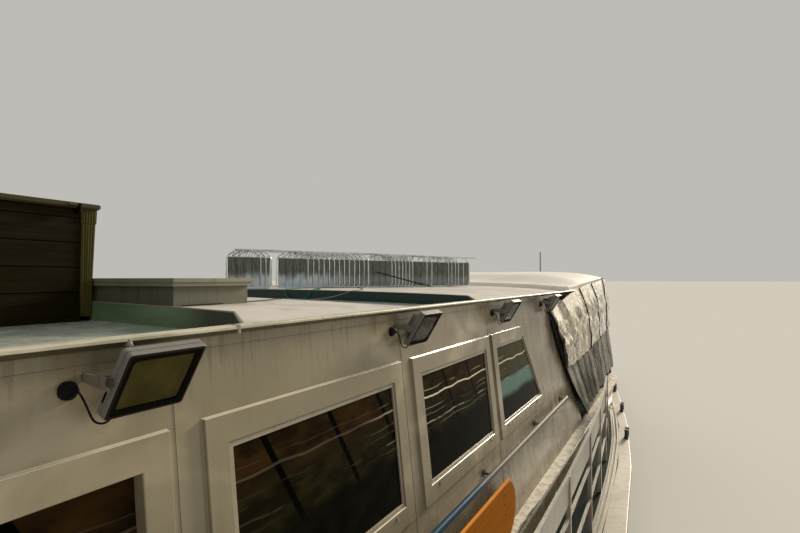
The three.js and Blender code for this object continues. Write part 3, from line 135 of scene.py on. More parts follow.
def add(tree, kind, *given):
    """A node of one kind, its inputs set or linked in that kind's order.

    It gives back the output that is used, or all of them where the kind names none.
    """
    name, settings, inputs, output = kind
    made = tree.nodes.new(name)
    for setting, value in settings.items():
        setattr(made, setting, value)
    for socket, value in zip(inputs, given):
        if isinstance(value, bpy.types.NodeSocket):
            tree.links.new(value, made.inputs[socket])
        else:
            made.inputs[socket].default_value = value
    return made.outputs if output is None else made.outputs[output]


def start(name, rough=0.5, metal=0.0, coat=0.0):
    """A new finish: the material, the function that adds its nodes, and its shader."""
    made = bpy.data.materials.new(name)
    made.use_nodes = True
    shader = made.node_tree.nodes["Principled BSDF"]
    shader.inputs["Roughness"].default_value = rough
    shader.inputs["Metallic"].default_value = metal
    shader.inputs["Coat Weight"].default_value = coat
    shader.inputs["Coat Roughness"].default_value = 0.08
    return made, partial(add, made.node_tree), shader


def finish(shader, colour, rough, height, depth):
    """Link the colour, the roughness if it varies, and the fine relief, whose depth is in metres."""
    tree = shader.id_data
    tree.links.new(colour, shader.inputs["Base Color"])
    if rough is not None:
        tree.links.new(rough, shader.inputs["Roughness"])
    tree.links.new(add(tree, BUMP, height, 1.0, depth), shader.inputs["Normal"])


# Materials
def painted_steel(
    name, main, faded, grime, rough=(0.3, 0.55), runs=0.5, chips=0.0, chip="#5a3a26", sheen=0.5
):
    """Brushed paint on steel: the eye sees broad fading, grime run down in streaks, and chips."""
    made, node, shader = start(name)
    spot = node(OBJECT_SPOT)
    shader.inputs["Specular IOR Level"].default_value = sheen
    broad = node(RAMP, node(NOISE, spot, per_metre(1110), 5, 0.55), 0.38, 0.68)
    streaks = node(
        RAMP, node(NOISE, node(STRETCH, spot, (7, 7, 0.5)), per_metre(625), 6, 0.65), 0.5, 0.72
    )
    fine = node(NOISE, spot, per_metre(26.3), 3, 0.55)
    colour = node(MIX, broad, paint(main), paint(faded))
    colour = node(MIX, node(MULTIPLY, streaks, runs), colour, paint(grime))
    if chips:
        flakes = node(RAMP, node(NOISE, spot, per_metre(71.4), 8, 0.7), 0.72 - chips, 0.74 - chips)
        colour = node(MIX, flakes, colour, paint(chip))
    finish(shader, colour, node(SPAN, fine, *rough), fine, 0.0006)
    return made


def wall_gloss():
    """Cream gloss on wavy plate: soft painted reflections, drips, painted highlights on top faces, a ledge
    dark and mottled at its rim.
    """
    made, node, shader = start("wall_gloss_cream", coat=0.04)
    spot = node(OBJECT_SPOT)
    x, y, z = node(SEPARATE, spot)
    broad = node(
        RAMP, node(NOISE, node(STRETCH, spot, (1, 1, 1.6)), per_metre(1250), 5, 0.55), 0.35, 0.7
    )
    runs = node(
        RAMP, node(NOISE, node(STRETCH, spot, (9, 9, 0.35)), per_metre(769), 7, 0.7), 0.47, 0.75
    )
    drips = node(
        RAMP, node(NOISE, node(STRETCH, spot, (14, 14, 0.8)), per_metre(455), 4, 0.55), 0.52, 0.66
    )
    near_top = node(RAMP, z, 3.18, 3.44)
    colour = node(MIX, broad, paint("#898069"), paint("#746b55"))
    run_share = node(MULTIPLY, runs, node(SPAN, node(RAMP, z, 2.2, 2.6), 0.08, 0.3))
    colour = node(MIX, run_share, colour, paint("#5c523c"))
    colour = node(MIX, node(MULTIPLY, node(MULTIPLY, drips, near_top), 0.6), colour, paint("#665d45"))
    # Painted reflection: soft slanted patches, some paler and some darker than the paint.
    reflection_patches = node(NOISE, node(STRETCH, spot, (1, 1, 1.9)), per_metre(870), 3, 0.45, 0.9)
    colour = node(MIX, node(MULTIPLY, node(RAMP, reflection_patches, 0.52, 0.7), 0.65), colour, paint("#b0a58c"))
    colour = node(MIX, node(MULTIPLY, node(RAMP, reflection_patches, 0.44, 0.28), 0.55), colour, paint("#5f5745"))
    # Painted reflection: dark streaky bands on the wall from the raked window towards the bow.
    reflection_bands = node(
        RAMP, node(NOISE, node(STRETCH, spot, (3.4, 3.4, 0.5)), per_metre(385), 4, 0.55, 0.5), 0.4, 0.62
    )
    reflection_bands = node(MULTIPLY, reflection_bands, node(RAMP, x, -0.9, 0.2))
    colour = node(MIX, node(MULTIPLY, reflection_bands, 0.5), colour, paint("#564a38"))
    low_dirt = node(RAMP, z, 2.3, 1.75)
    soil = node(
        MULTIPLY,
        low_dirt,
        node(RAMP, node(NOISE, node(STRETCH, spot, (2, 2, 1)), per_metre(323), 6, 0.55), 0.35, 0.8),
    )
    colour = node(MIX, node(MULTIPLY, soil, 0.6), colour, paint("#7b6656"))
    up = node(SEPARATE, node(FACE_NORMAL))["Z"]
    # Painted highlight: upward faces above the ledge, such as the tops of the window frames, are drawn
    # paler as if sunlit.
    edges = node(MULTIPLY, node(RAMP, up, 0.3, 0.7), node(RAMP, z, 2.1, 2.2))
    colour = node(MIX, edges, colour, paint("#cfc6b1"))
    ledge = node(MULTIPLY, node(RAMP, up, 0.6, 0.9), node(RAMP, z, 1.8, 1.72))
    flakes = node(RAMP, node(NOISE, spot, per_metre(111), 9, 0.72), 0.5, 0.54)
    wide = node(
        SUM, node(ABSOLUTE, y), node(MULTIPLY, node(NOISE, spot, per_metre(385), 6, 0.55), 0.09)
    )
    # The ledge is pale by the wall and turns dark and mottled towards its outer rim.
    rim_from = node(SUM, wide, node(SPAN, node(RAMP, x, 0.6, -1.6), -0.03, 0.02))
    dark_rim = node(RAMP, rim_from, 3.565, 3.58)
    rim_tone = node(MIX, flakes, paint("#25261f"), paint("#59584e"))
    ledge_colour = node(MIX, dark_rim, node(MIX, flakes, paint("#e2dccd"), paint("#bfb8a7")), rim_tone)
    colour = node(MIX, ledge, colour, ledge_colour)
    waves = node(NOISE, node(STRETCH, spot, (1, 1, 0.7)), per_metre(385), 2, 0.55)
    fine = node(NOISE, spot, per_metre(16.7), 2, 0.55)
    height = node(SUM, node(MULTIPLY, waves, 6.0), node(MULTIPLY, fine, 0.25))
    rough = node(SUM, node(SPAN, runs, 0.24, 0.42), node(MULTIPLY, ledge, 0.45))
    made.node_tree.links.new(node(SPAN, ledge, 0.5, 0.06), shader.inputs["Specular IOR Level"])
    finish(shader, colour, rough, height, 0.0011)
    return made


def trim_paint():
    """Trim that is pale and sunlit on its lip, and in mottled dark olive painted shade on its underside.
    """
    made, node, shader = start("roof_trim_paint")
    spot = node(OBJECT_SPOT)
    z = node(SEPARATE, spot)["Z"]
    worn = node(RAMP, node(NOISE, node(STRETCH, spot, (1, 4, 4)), per_metre(333), 7, 0.65), 0.42, 0.66)
    chips = node(
        RAMP, node(NOISE, node(STRETCH, spot, (0.6, 2, 2)), per_metre(62.5), 7, 0.7), 0.6, 0.64
    )
    lip = node(MIX, worn, paint("#c9c4af"), paint("#a8a38a"))
    # Painted shade: the underside is drawn dark olive.
    shaded_underside = node(MIX, worn, paint("#4e4a32"), paint("#3d3a26"))
    colour = node(MIX, node(RAMP, z, 3.5045, 3.5025), node(MIX, chips, lip, paint("#6d6549")), shaded_underside)
    finish(
        shader, colour, node(SPAN, node(NOISE, spot, per_metre(25), 4, 0.55), 0.3, 0.5), chips, 0.0008
    )
    return made


def roof_deck():
    """Matt roof paint with rings where water dried, shining bays, risers in painted shade, and a painted
    green reflection on the aft bay's riser.
    """
    made, node, shader = start("roof_matt_grey")
    spot = node(OBJECT_SPOT)
    x, y, z = node(SEPARATE, spot)
    across = node(DIVIDE, y, ROOF_HALF)
    crown = node(MULTIPLY, node(SUBTRACT, 1.0, node(MULTIPLY, across, across)), CAMBER)
    depth = node(SUBTRACT, node(SUM, crown, ROOF_Z), z)
    sunk = node(RAMP, depth, 0.05, 0.1)
    # The risers' faces, which get painted shade and a painted reflection below.
    shaded_riser = node(RAMP, node(SEPARATE, node(FACE_NORMAL))["Z"], 0.7, 0.3)
    broad = node(RAMP, node(NOISE, spot, per_metre(1430), 6, 0.6), 0.3, 0.72)
    rings = node(RAMP, node(NOISE, spot, per_metre(417), 7, 0.62, 0.6), 0.48, 0.6)
    colour = node(MIX, broad, paint("#d2ccc4"), paint("#bcb7ae"))
    colour = node(MIX, node(MULTIPLY, rings, 0.35), colour, paint("#8e8b81"))
    wet = node(MIX, rings, paint("#b7beb2"), paint("#98a398"))
    colour = node(MIX, sunk, colour, wet)
    # Painted shade on the risers: dark teal on the forward bay, dark grey at the ends of the aft one,
    # whose middle carries a painted light green reflection.
    fore_bay = node(RAMP, x, -3.2, -2.9)
    green = node(
        MIX,
        node(RAMP, node(NOISE, node(STRETCH, spot, (1, 0.4, 1)), per_metre(625), 4, 0.55), 0.38, 0.62),
        paint("#5d7355"),
        paint("#7f9377"),
    )
    aft_riser_reflection_and_shade = node(MIX, node(RAMP, node(ABSOLUTE, y), 2.1, 2.5), green, paint("#45473e"))
    dark = node(MIX, fore_bay, aft_riser_reflection_and_shade, paint("#17322f"))
    colour = node(MIX, shaded_riser, colour, dark)
    fine = node(NOISE, spot, per_metre(22.2), 3, 0.55)
    dry = node(SPAN, fine, 0.4, 0.62)
    rough = node(SUBTRACT, dry, node(MULTIPLY, sunk, 0.28))
    finish(shader, colour, rough, fine, 0.0009)
    return made


def planked_wood(name, dark, light, along, gloss=0.5, coat=0.0, board=0.15):
    """Boards that differ in tone, with long grain along them and open pores."""
    made, node, shader = start(name, coat=coat)
    spot = node(OBJECT_SPOT)
    shader.inputs["Specular IOR Level"].default_value = 0.05
    stretch = {"x": (0.6, 14, 14), "y": (14, 0.6, 14), "z": (14, 14, 0.6)}[along]
    lines = node(NOISE, node(STRETCH, spot, stretch), per_metre(312), 8, 0.68, 0.4)
    x, _, z = node(SEPARATE, spot)
    step = node(FLOOR, node(DIVIDE, x if along == "z" else z, board))
    tone = node(CHANCE, step)
    colour = node(MIX, node(RAMP, lines, 0.3, 0.75), paint(dark), paint(light))
    colour = node(MIX, node(MULTIPLY, tone, 0.45), colour, paint(dark))
    finish(shader, colour, node(SPAN, lines, gloss - 0.08, gloss + 0.16), lines, 0.0012)
    return made


def bare_metal(name, tone, shade, rough=(0.18, 0.4), scratch=(3, 3, 40)):
    """Drawn metal with fine scratches along it and dull patches of oxide."""
    made, node, shader = start(name, metal=1.0)
    spot = node(OBJECT_SPOT)
    dull = node(RAMP, node(NOISE, spot, per_metre(167), 5, 0.55), 0.4, 0.7)
    lines = node(NOISE, node(STRETCH, spot, scratch), per_metre(71.4), 3, 0.55)
    colour = node(MIX, dull, paint(tone), paint(shade))
    finish(shader, colour, node(SPAN, lines, *rough), lines, 0.0003)
    return made


# The dark bars of the painted reflection on the glass, in metres: their pitch, how far they lean in
# each metre of height, and how far aft of x = 0 one of them would start at z = 0.
REFLECTED_BAR_PITCH = 0.47
REFLECTED_BAR_LEAN = 0.533
REFLECTED_BAR_FROM = 2.684
# Painted glints. Columns: height of the line, its half width, how bright it is.
GLINTS = (
    (2.953, 0.005, 0.35),
    (2.905, 0.008, 0.95),
    (2.83, 0.004, 0.3),
    (2.79, 0.0035, 0.22),
    (2.735, 0.006, 0.45),
    (2.695, 0.0035, 0.2),
)


def slat_metal():
    """Rolled chair slats: grey-green above as painted shade, a painted bright blue-white reflection low
    down, and dark seams.
    """
    made, node, shader = start("chair_slat_aluminium", rough=0.3, metal=0.75)
    spot = node(OBJECT_SPOT)
    x, _, z = node(SEPARATE, spot)
    lines = node(NOISE, node(STRETCH, spot, (16, 16, 0.6)), per_metre(100), 4, 0.6)
    cloudy = node(MULTIPLY, node(NOISE, node(STRETCH, spot, (2, 2, 1)), per_metre(286), 3, 0.55), 0.22)
    # Painted reflection: the slats low down are drawn bright blue-white, most towards the aft end of the
    # row.
    low = node(RAMP, node(SUM, z, cloudy), 3.93, 3.78)
    near = node(RAMP, x, 1.6, 0.6)
    sky_reflection = node(MULTIPLY, low, node(SUM, node(MULTIPLY, near, 0.75), 0.22))
    colour = node(MIX, node(RAMP, lines, 0.36, 0.64), paint("#484c42"), paint("#777b6f"))
    colour = node(MIX, sky_reflection, colour, paint("#c6d4e2"))
    finish(shader, colour, node(SPAN, lines, 0.22, 0.42), lines, 0.0005)
    return made


def window_glass():
    """Glass over an unlit cabin: near black, with painted reflections of brown panels between dark bars,
    and thin wavy painted glints.
    """
    made, node, shader = start("window_glass_dark", rough=0.05)
    spot = node(OBJECT_SPOT)
    shader.inputs["IOR"].default_value = 1.06
    x, _, z = node(SEPARATE, spot)
    wobble = node(
        MULTIPLY, node(NOISE, node(STRETCH, spot, (1, 1, 0.8)), per_metre(357), 3, 0.45), 0.07
    )
    lift = node(SUBTRACT, node(SUM, z, wobble), 0.035)
    slant = node(SUM, node(SUM, x, REFLECTED_BAR_FROM), node(MULTIPLY, z, REFLECTED_BAR_LEAN))
    step = node(WRAP, slant, REFLECTED_BAR_PITCH, 0.0)
    panel = node(FLOOR, node(DIVIDE, slant, REFLECTED_BAR_PITCH))
    chance = node(CHANCE, panel)
    mottle = node(
        RAMP, node(NOISE, node(STRETCH, spot, (1, 1, 2.2)), per_metre(167), 5, 0.55), 0.36, 0.66
    )
    # Painted reflection: brown panels at the top, dark olive under them, and near black glass low down.
    brown = node(MIX, chance, paint("#35230f"), paint("#2b2612"))
    olive = node(MIX, mottle, paint("#141208"), paint("#26220f"))
    colour = node(MIX, node(RAMP, lift, 2.82, 2.9), olive, node(MIX, mottle, brown, paint("#1c140a")))
    colour = node(
        MIX, node(RAMP, lift, 2.68, 2.62), colour, node(MIX, mottle, paint("#050503"), paint("#0f0e08"))
    )
    # Painted reflection: dark leaning bars over the brown and olive bands.
    post = node(MULTIPLY, node(RAMP, step, 0.044, 0.034), node(RAMP, lift, 2.6, 2.68))
    colour = node(MIX, post, colour, paint("#020201"))
    # Painted reflection on the raked pane: a pale green band with an olive band over it.
    raked = node(RAMP, x, -1.25, -1.1)
    pale = node(MULTIPLY, raked, node(RAMP, lift, 2.76, 2.72))
    pale = node(MULTIPLY, pale, node(RAMP, lift, 2.54, 2.62))
    colour = node(MIX, node(MULTIPLY, pale, 0.85), colour, paint("#66837a"))
    colour = node(
        MIX,
        node(MULTIPLY, node(MULTIPLY, raked, node(RAMP, lift, 2.72, 2.78)), 0.25),
        colour,
        paint("#6a6a50"),
    )
    ahead = node(SUM, node(RAMP, x, -3.6, -2.7), 0.07)
    broken = node(
        SUM,
        node(RAMP, node(NOISE, node(STRETCH, spot, (1, 1, 2.5)), per_metre(385), 5, 0.55), 0.47, 0.56),
        0.04,
    )
    # Painted glints: thin pale wavy lines, faint on the aft windows, the weaker ones broken.
    for height, width, strength in GLINTS:
        off = node(ABSOLUTE, node(SUBTRACT, lift, height))
        line = node(MULTIPLY, node(RAMP, off, width, width * 0.35), strength)
        share = node(MULTIPLY, node(MULTIPLY, line, ahead), broken if strength < 0.9 else 1.0)
        colour = node(MIX, share, colour, paint("#d9d2b8"))
    finish(shader, colour, None, node(NOISE, spot, per_metre(714), 1, 0.55), 0.003)
    return made


def plain(name, tone, shade, rough=(0.4, 0.6), lump=33.3, depth=0.0004):
    """A small even surface that still has fine mottling and a grainy sheen."""
    made, node, shader = start(name)
    spot = node(OBJECT_SPOT)
    shader.inputs["Specular IOR Level"].default_value = 0.06
    fine = node(NOISE, spot, per_metre(lump), 4, 0.55)
    colour = node(MIX, node(RAMP, fine, 0.35, 0.7), paint(tone), paint(shade))
    finish(shader, colour, node(SPAN, fine, *rough), fine, depth)
    return made


def coated_cloth(name, fresh, worn, crease, fold_shade_colour, gloss, bow_highlight=None):
    """Coated woven cloth: sharp creases, painted shade in the folds and along crease lines, and a painted
    highlight at the bow end.
    """
    made, node, shader = start(name)
    spot = node(OBJECT_SPOT)
    x = node(SEPARATE, spot)["X"]
    fold_shade = node(FOLD_SHADE_ATTRIBUTE)
    crumple = node(NOISE, node(STRETCH, spot, (1, 1, 0.55)), per_metre(143), 6, 0.6, 1.2)
    stains = node(
        RAMP, node(NOISE, node(STRETCH, spot, (1.5, 1.5, 0.7)), per_metre(294), 7, 0.7), 0.42, 0.66
    )
    blots = node(
        RAMP, node(NOISE, node(STRETCH, spot, (1, 1, 0.6)), per_metre(111), 8, 0.75, 0.8), 0.5, 0.6
    )
    vein = node(
        ABSOLUTE,
        node(
            SUBTRACT, node(NOISE, node(STRETCH, spot, (1, 1, 0.45)), per_metre(100), 4, 0.55, 2.2), 0.5
        ),
    )
    veins = node(RAMP, vein, 0.035, 0.0)
    colour = node(MIX, stains, paint(fresh), paint(worn))
    # Painted highlight: the cloth is drawn near white towards the bow end.
    if bow_highlight:
        colour = node(MIX, node(MULTIPLY, node(RAMP, x, 3.6, 5.2), 0.8), colour, paint(bow_highlight))
    colour = node(MIX, node(MULTIPLY, blots, 0.6), colour, paint(crease))
    # Painted shade: the folds and the crease lines are drawn in the shade colour.
    colour = node(MIX, node(RAMP, fold_shade, 0.45, 0.95), colour, paint(fold_shade_colour))
    colour = node(MIX, node(MULTIPLY, veins, 0.6), colour, paint(fold_shade_colour))
    height = node(SUM, node(MULTIPLY, crumple, 5.0), node(NOISE, spot, per_metre(7.14), 1, 0.55))
    height = node(SUBTRACT, height, node(MULTIPLY, veins, 1.2))
    finish(shader, colour, node(SPAN, crumple, gloss, gloss + 0.3), height, 0.007)
    shader.inputs["Sheen Weight"].default_value = 0.15
    shader.inputs["Sheen Roughness"].default_value = 0.5
    return made


def clear_pane(name, tint):
    """A clear pane that only shows as a reflection over what lies behind it."""
    made, node, shader = start(name)
    behind = node(CLEAR_THROUGH, paint(tint))
    shine = node(SHINE, 0.12)
    share = node(FRESNEL, 1.12)
    both = node(MIX_SHADER, share, behind, shine)
    made.node_tree.links.new(both, made.node_tree.nodes["Material Output"].inputs["Surface"])
    made.node_tree.nodes.remove(shader)
    return made


def two_tone_rail():
    """Handrail paint: blue on its aft part, turning pale grey towards the bow."""
    made, node, shader = start("handrail_blue_to_pale")
    spot = node(OBJECT_SPOT)
    shader.inputs["Specular IOR Level"].default_value = 0.04
    x = node(SEPARATE, spot)["X"]
    wander = node(MULTIPLY, node(NOISE, node(STRETCH, spot, (1, 4, 4)), per_metre(200), 6, 0.55), 1.2)
    # The rail is drawn blue aft and pale grey towards the bow, with chips.
    pale_share = node(RAMP, node(SUM, x, wander), -1.9, -0.6)
    chips = node(RAMP, node(NOISE, node(STRETCH, spot, (1, 2, 2)), per_metre(45.5), 7, 0.7), 0.6, 0.64)
    colour = node(MIX, chips, paint("#164059"), paint("#142a36"))
    colour = node(MIX, pale_share, colour, node(MIX, chips, paint("#777268"), paint("#504b41")))
    fine = node(NOISE, spot, per_metre(20), 3, 0.55)
    finish(shader, colour, node(SPAN, fine, 0.4, 0.6), fine, 0.0004)
    return made


CREAM = wall_gloss()
ROOF = roof_deck()
GLASS = window_glass()
# Alkyd paint on rail steel: chalky off-white with rust where it has flaked
PALE = painted_steel("rail_paint_white", "#98948a", "#7f7b70", "#565043", chips=0.06, chip="#5b4a3a")
# Alkyd paint on the guard: worn pale, and brown where it is rubbed through
GUARD = painted_steel(
    "guard_paint_worn", "#c3bdb2", "#aca599", "#7b7468", chips=0.08, chip="#6b5a49", sheen=0.25
)
# Paint on the deck's edge channels: grey with settled dirt
WATERWAY = painted_steel("waterway_paint_grey", "#97917f", "#7b7666", "#4c4a3d", (0.35, 0.6), chips=0.1)
TRIM = trim_paint()
# Non-slip deck paint: a dull dark green that shines very little
DECK = painted_steel(
    "deck_paint_green", "#15221b", "#202d26", "#0f140e", (0.7, 0.9), chips=0.05, chip="#4a5147", sheen=0.03
)
# Hull paint: dark green with runs below the guard
HULL = painted_steel("hull_paint_dark_green", "#22352c", "#2f4339", "#4a4a3c", runs=0.6, chips=0.04)
# Cream gloss on the canopy: almost white in sun, with faint runs
WHITE = painted_steel("canopy_paint_cream", "#fdf8ef", "#f1eadc", "#b9b09a", (0.25, 0.45), runs=0.18)
# Heat-proof black on the funnel and on iron fittings
DARK = painted_steel("fitting_paint_black", "#232321", "#34322e", "#4d4438", (0.3, 0.55), chips=0.05)
# Red oxide primer on beams and rudders: flat brown-red
OXIDE = painted_steel(
    "red_oxide_paint", "#6b2b20", "#7c3a2b", "#3a1c16", (0.4, 0.7), chips=0.06, chip="#2b211b"
)
# Signal red on the wheel, faded and chipped by its work
WHEEL_RED = painted_steel(
    "wheel_paint_red", "#8f2a1f", "#a23e30", "#4a2219", (0.35, 0.6), chips=0.07, chip="#3a2c24"
)
# Olive-grey paint on the hatch box, with dirty runs
HATCH = painted_steel("hatch_paint_grey", "#5c5c4d", "#6c6b5a", "#3f3d31", (0.35, 0.6))
# A paler coat on the hatch lid, chipped along its edges
HATCH_LID = painted_steel("hatch_lid_paint", "#7d7d69", "#929079", "#57543f", (0.3, 0.5), chips=0.05)
# Powder-coated die-cast aluminium: an even warm grey
LAMP = painted_steel("lamp_paint_grey", "#787670", "#6b6963", "#4f4b42", (0.35, 0.5), runs=0.2)
# Oiled softwood boards: almost black, with a brown grain in the light
PLANK = planked_wood("companion_planks_dark", "#140f02", "#282008", "x", 0.5)
# Weathered olive-brown wood of the lids
CAP_WOOD = planked_wood("companion_cap_olive", "#3d3823", "#59533a", "x", 0.45, board=3.0)
# Stained olive wood of the fluted corner boards
PILASTER = planked_wood("pilaster_wood_olive", "#39341a", "#5f592f", "z", 0.5, board=3.0)
# Teak under clear varnish: warm brown with a wet shine
VARNISH = planked_wood("varnished_teak", "#6b3c16", "#96602a", "z", 0.22, coat=0.5, board=0.09)
# Varnished orange board, blank
BOARD = planked_wood("board_varnish_orange", "#935300", "#b87200", "x", 0.6, board=3.0)
# The board's planed edge, paler where the light catches it
BOARD_RIM = planked_wood("board_rim_orange", "#e08a24", "#eda048", "x", 0.5, board=3.0)
# Drawn aluminium tube: bright lines along each hoop
ALLOY = bare_metal("chair_aluminium", "#dfe3e3", "#b4baba", (0.12, 0.3))
SLAT_ALLOY = slat_metal()
# Zinc-plated steel of screws and posts: dull and mottled
STEEL = bare_metal("zinc_steel", "#9b9a94", "#77756d", (0.3, 0.55), (3, 3, 3))
# Moulded rubber: black with no shine
RUBBER = plain("black_rubber", "#141414", "#242321", (0.45, 0.7))
# Dark olive powder coat round the lamp's pane
BEZEL = painted_steel(
    "bezel_paint_olive", "#211d10", "#18150b", "#0e0c06", (0.5, 0.7), runs=0.2, sheen=0.15
)
# Extruded gasket: a black line round the pane
GASKET = plain("lamp_gasket_black", "#0a0905", "#121009", (0.7, 0.9))
# Brushed reflector behind the pane, dulled to olive
REFLECTOR = plain("reflector_olive", "#81806a", "#6d6d59", (0.45, 0.6), 71.4)
# Toughened lamp glass: a faint reflection over the reflector
CLEAR = clear_pane("lamp_pane_clear", "#e6e2cd")
# Faded blue gloss on the jackstaff
STAFF = painted_steel("jackstaff_paint_blue", "#8d96b4", "#7b84a3", "#565b6b", (0.3, 0.5))
# Galvanised lamp stirrups gone grey-brown
BRACKET = painted_steel("bracket_paint_grey", "#7c766a", "#6a655a", "#4a463c", (0.4, 0.6), chips=0.04)
# Cream paint on the sashes, a little darker than the wall
SASH = painted_steel(
    "sash_paint_cream", "#948b76", "#7e7562", "#544a35", (0.3, 0.5), runs=0.3, chips=0.02
)
# PVC-coated polyester in pale cream, with a painted highlight towards the bow: the upper cloth
CLOTH_PALE = coated_cloth(
    "coated_cloth_cream", "#f6eedd", "#d3c8ae", "#897f62", "#3f3927", 0.35, "#fffdf6"
)
# The same cloth in olive, wetter and dirtier: the lower one
CLOTH_DARK = coated_cloth("coated_cloth_olive", "#807c69", "#5a5746", "#35342a", "#131410", 0.35)
HANDRAIL = two_tone_rail()
# Tarred twine: dark brown, rough
ROPE_DARK = plain("tarred_rope", "#221f1b", "#3a342a", (0.6, 0.85), 4.55, 0.001)
# Laid polypropylene rope: sea green
ROPE_GREEN = plain("green_rope", "#1e6b58", "#2c8a70", (0.55, 0.8), 4.55, 0.001)
# Bitumen black on cast iron: black with brown scuffs
IRON = painted_steel("bollard_paint_black", "#1e1e1d", "#2d2b28", "#5a4a3a", (0.3, 0.55), chips=0.07)


# Mesh helpers
class Shape:
    """Points and faces of one mesh, gathered piece by piece."""

    def __init__(self):
        self.points = []
        self.faces = []
        self.slots = []

    def put(self, points, faces, slot=0):
        base = len(self.points)
        self.points += [tuple(p) for p in points]
        self.faces += [tuple(base + i for i in face) for face in faces]
        self.slots += [slot] * len(faces)

    def loft(self, rings, slot=0, caps=True):
        """A skin over rings of as many points each, with its ends closed where caps is set."""
        count = len(rings[0])
        faces = []
        for r in range(len(rings) - 1):
            for i in range(count):
                j = (i + 1) % count
                a, b = r * count, (r + 1) * count
                faces.append((a + i, a + j, b + j, b + i))
        if caps:
            last = (len(rings) - 1) * count
            faces.append(tuple(reversed(range(count))))
            faces.append(tuple(last + i for i in range(count)))
        self.put([p for ring in rings for p in ring], faces, slot)

    def box(self, x, y, z, slot=0):
        ring = [(x[0], y[0]), (x[1], y[0]), (x[1], y[1]), (x[0], y[1])]
        self.loft([[(a, b, h) for a, b in ring] for h in z], slot)

    def tube(self, path, radius, sides=12, slot=0, loop=False, flat=1.0):
        """A round bar along a path, its ends closed, or a loop."""
        path = [Vector(p) for p in path]
        last = len(path) - 1
        rings = []
        across = None
        for i, p in enumerate(path):
            before = path[i - 1] if i > 0 or loop else p
            after = path[(i + 1) % len(path)] if i < last or loop else p
            ahead = (after - before).normalized()
            if across is None:
                side = Vector((0, 0, 1)) if abs(ahead.z) < 0.9 else Vector((1, 0, 0))
                across = ahead.cross(side).normalized()
            across = (across - ahead * across.dot(ahead)).normalized()
            up = ahead.cross(across)
            turns = [2 * math.pi * k / sides for k in range(sides)]
            size = radius[i] if isinstance(radius, (list, tuple)) else radius
            rings.append([p + across * math.cos(t) * size + up * math.sin(t) * size * flat for t in turns])
        if loop:
            rings.append(rings[0])
        self.loft(rings, slot, caps=not loop)

    def disc(self, centre, axis, radius, thick, sides=20, slot=0):
        centre, axis = Vector(centre), Vector(axis).normalized()
        self.tube([centre - axis * thick / 2, centre + axis * thick / 2], radius, sides, slot)

    def raw(self, name, materials, weld=True):
        """A plain object of the gathered faces, on no body yet."""
        mesh = bpy.data.meshes.new(name)
        mesh.from_pydata(self.points, [], self.faces)
        for m in materials:
            mesh.materials.append(m)
        mesh.polygons.foreach_set("material_index", self.slots)
        piece = bpy.data.objects.new(name, mesh)
        bpy.context.scene.collection.objects.link(piece)
        work = bmesh.new()
        work.from_mesh(mesh)
        if weld:
            bmesh.ops.remove_doubles(work, verts=work.verts, dist=1e-5)
        bmesh.ops.recalc_face_normals(work, faces=work.faces)
        work.to_mesh(mesh)
        work.free()
        return piece

    def make(self, name, body, materials, replaces=(), smooth=35, bevel=0.0):
        return settle(self.raw(name, materials), body, replaces, smooth, bevel)


def settle(piece, body, replaces=(), smooth=35, bevel=0.0):
    """Bevels, shades and hands a piece to the body it moves with."""
    if bevel:
        rounding = piece.modifiers.new("rounding", "BEVEL")
        rounding.width = bevel
        rounding.segments = 2
        rounding.limit_method = "ANGLE"
        rounding.angle_limit = math.radians(32)
        rounding.harden_normals = False
        plain_copy(piece)
    piece.data.shade_smooth()
    piece.data.set_sharp_from_angle(angle=math.radians(smooth))
    if bevel:
        even = piece.modifiers.new("even_shading", "WEIGHTED_NORMAL")
        even.keep_sharp = True
        even.weight = 100
        plain_copy(piece)
    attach(piece, body)
    if replaces:
        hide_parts(*replaces)
    return piece


def plain_copy(piece):
    """Turns a piece with modifiers into its plain mesh."""
    bpy.context.view_layer.update()
    seen = piece.evaluated_get(bpy.context.evaluated_depsgraph_get())
    mesh = bpy.data.meshes.new_from_object(seen)
    piece.modifiers.clear()
    piece.data = mesh


def refined(node, material, bevel):
    """A CAD node's own shape with its flat faces merged and its edges rounded."""
    source = frame["nodes"][node]
    mesh = source.data.copy()
    piece = bpy.data.objects.new(node + "_finished", mesh)
    bpy.context.scene.collection.objects.link(piece)
    work = bmesh.new()
    work.from_mesh(mesh)
    bmesh.ops.remove_doubles(work, verts=work.verts, dist=2e-5)
    bmesh.ops.dissolve_limit(work, angle_limit=math.radians(0.4), verts=work.verts, edges=work.edges)
    work.to_mesh(mesh)
    work.free()
    mesh.materials.clear()
    mesh.materials.append(material)
    for face in mesh.polygons:
        face.material_index = 0
    return settle(piece, source["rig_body"], (node,), 32, bevel)


def dress(material, *nodes):
    """A CAD node that stays, in a new material."""
    for node in nodes:
        mesh = frame["nodes"][node].data
        mesh.materials.clear()
        mesh.materials.append(material)


def pair(name):
    """The starboard and the port one of a CAD node."""
    return [name + "_starboard", name + "_port"]


# Camera, light and floor. The camera is the one that the photograph gives, turned in degrees.
CAMERA_SPOT = (-6.0, -4.8, 3.7)
CAMERA_YAW = 27.8
CAMERA_PITCH = 1.34


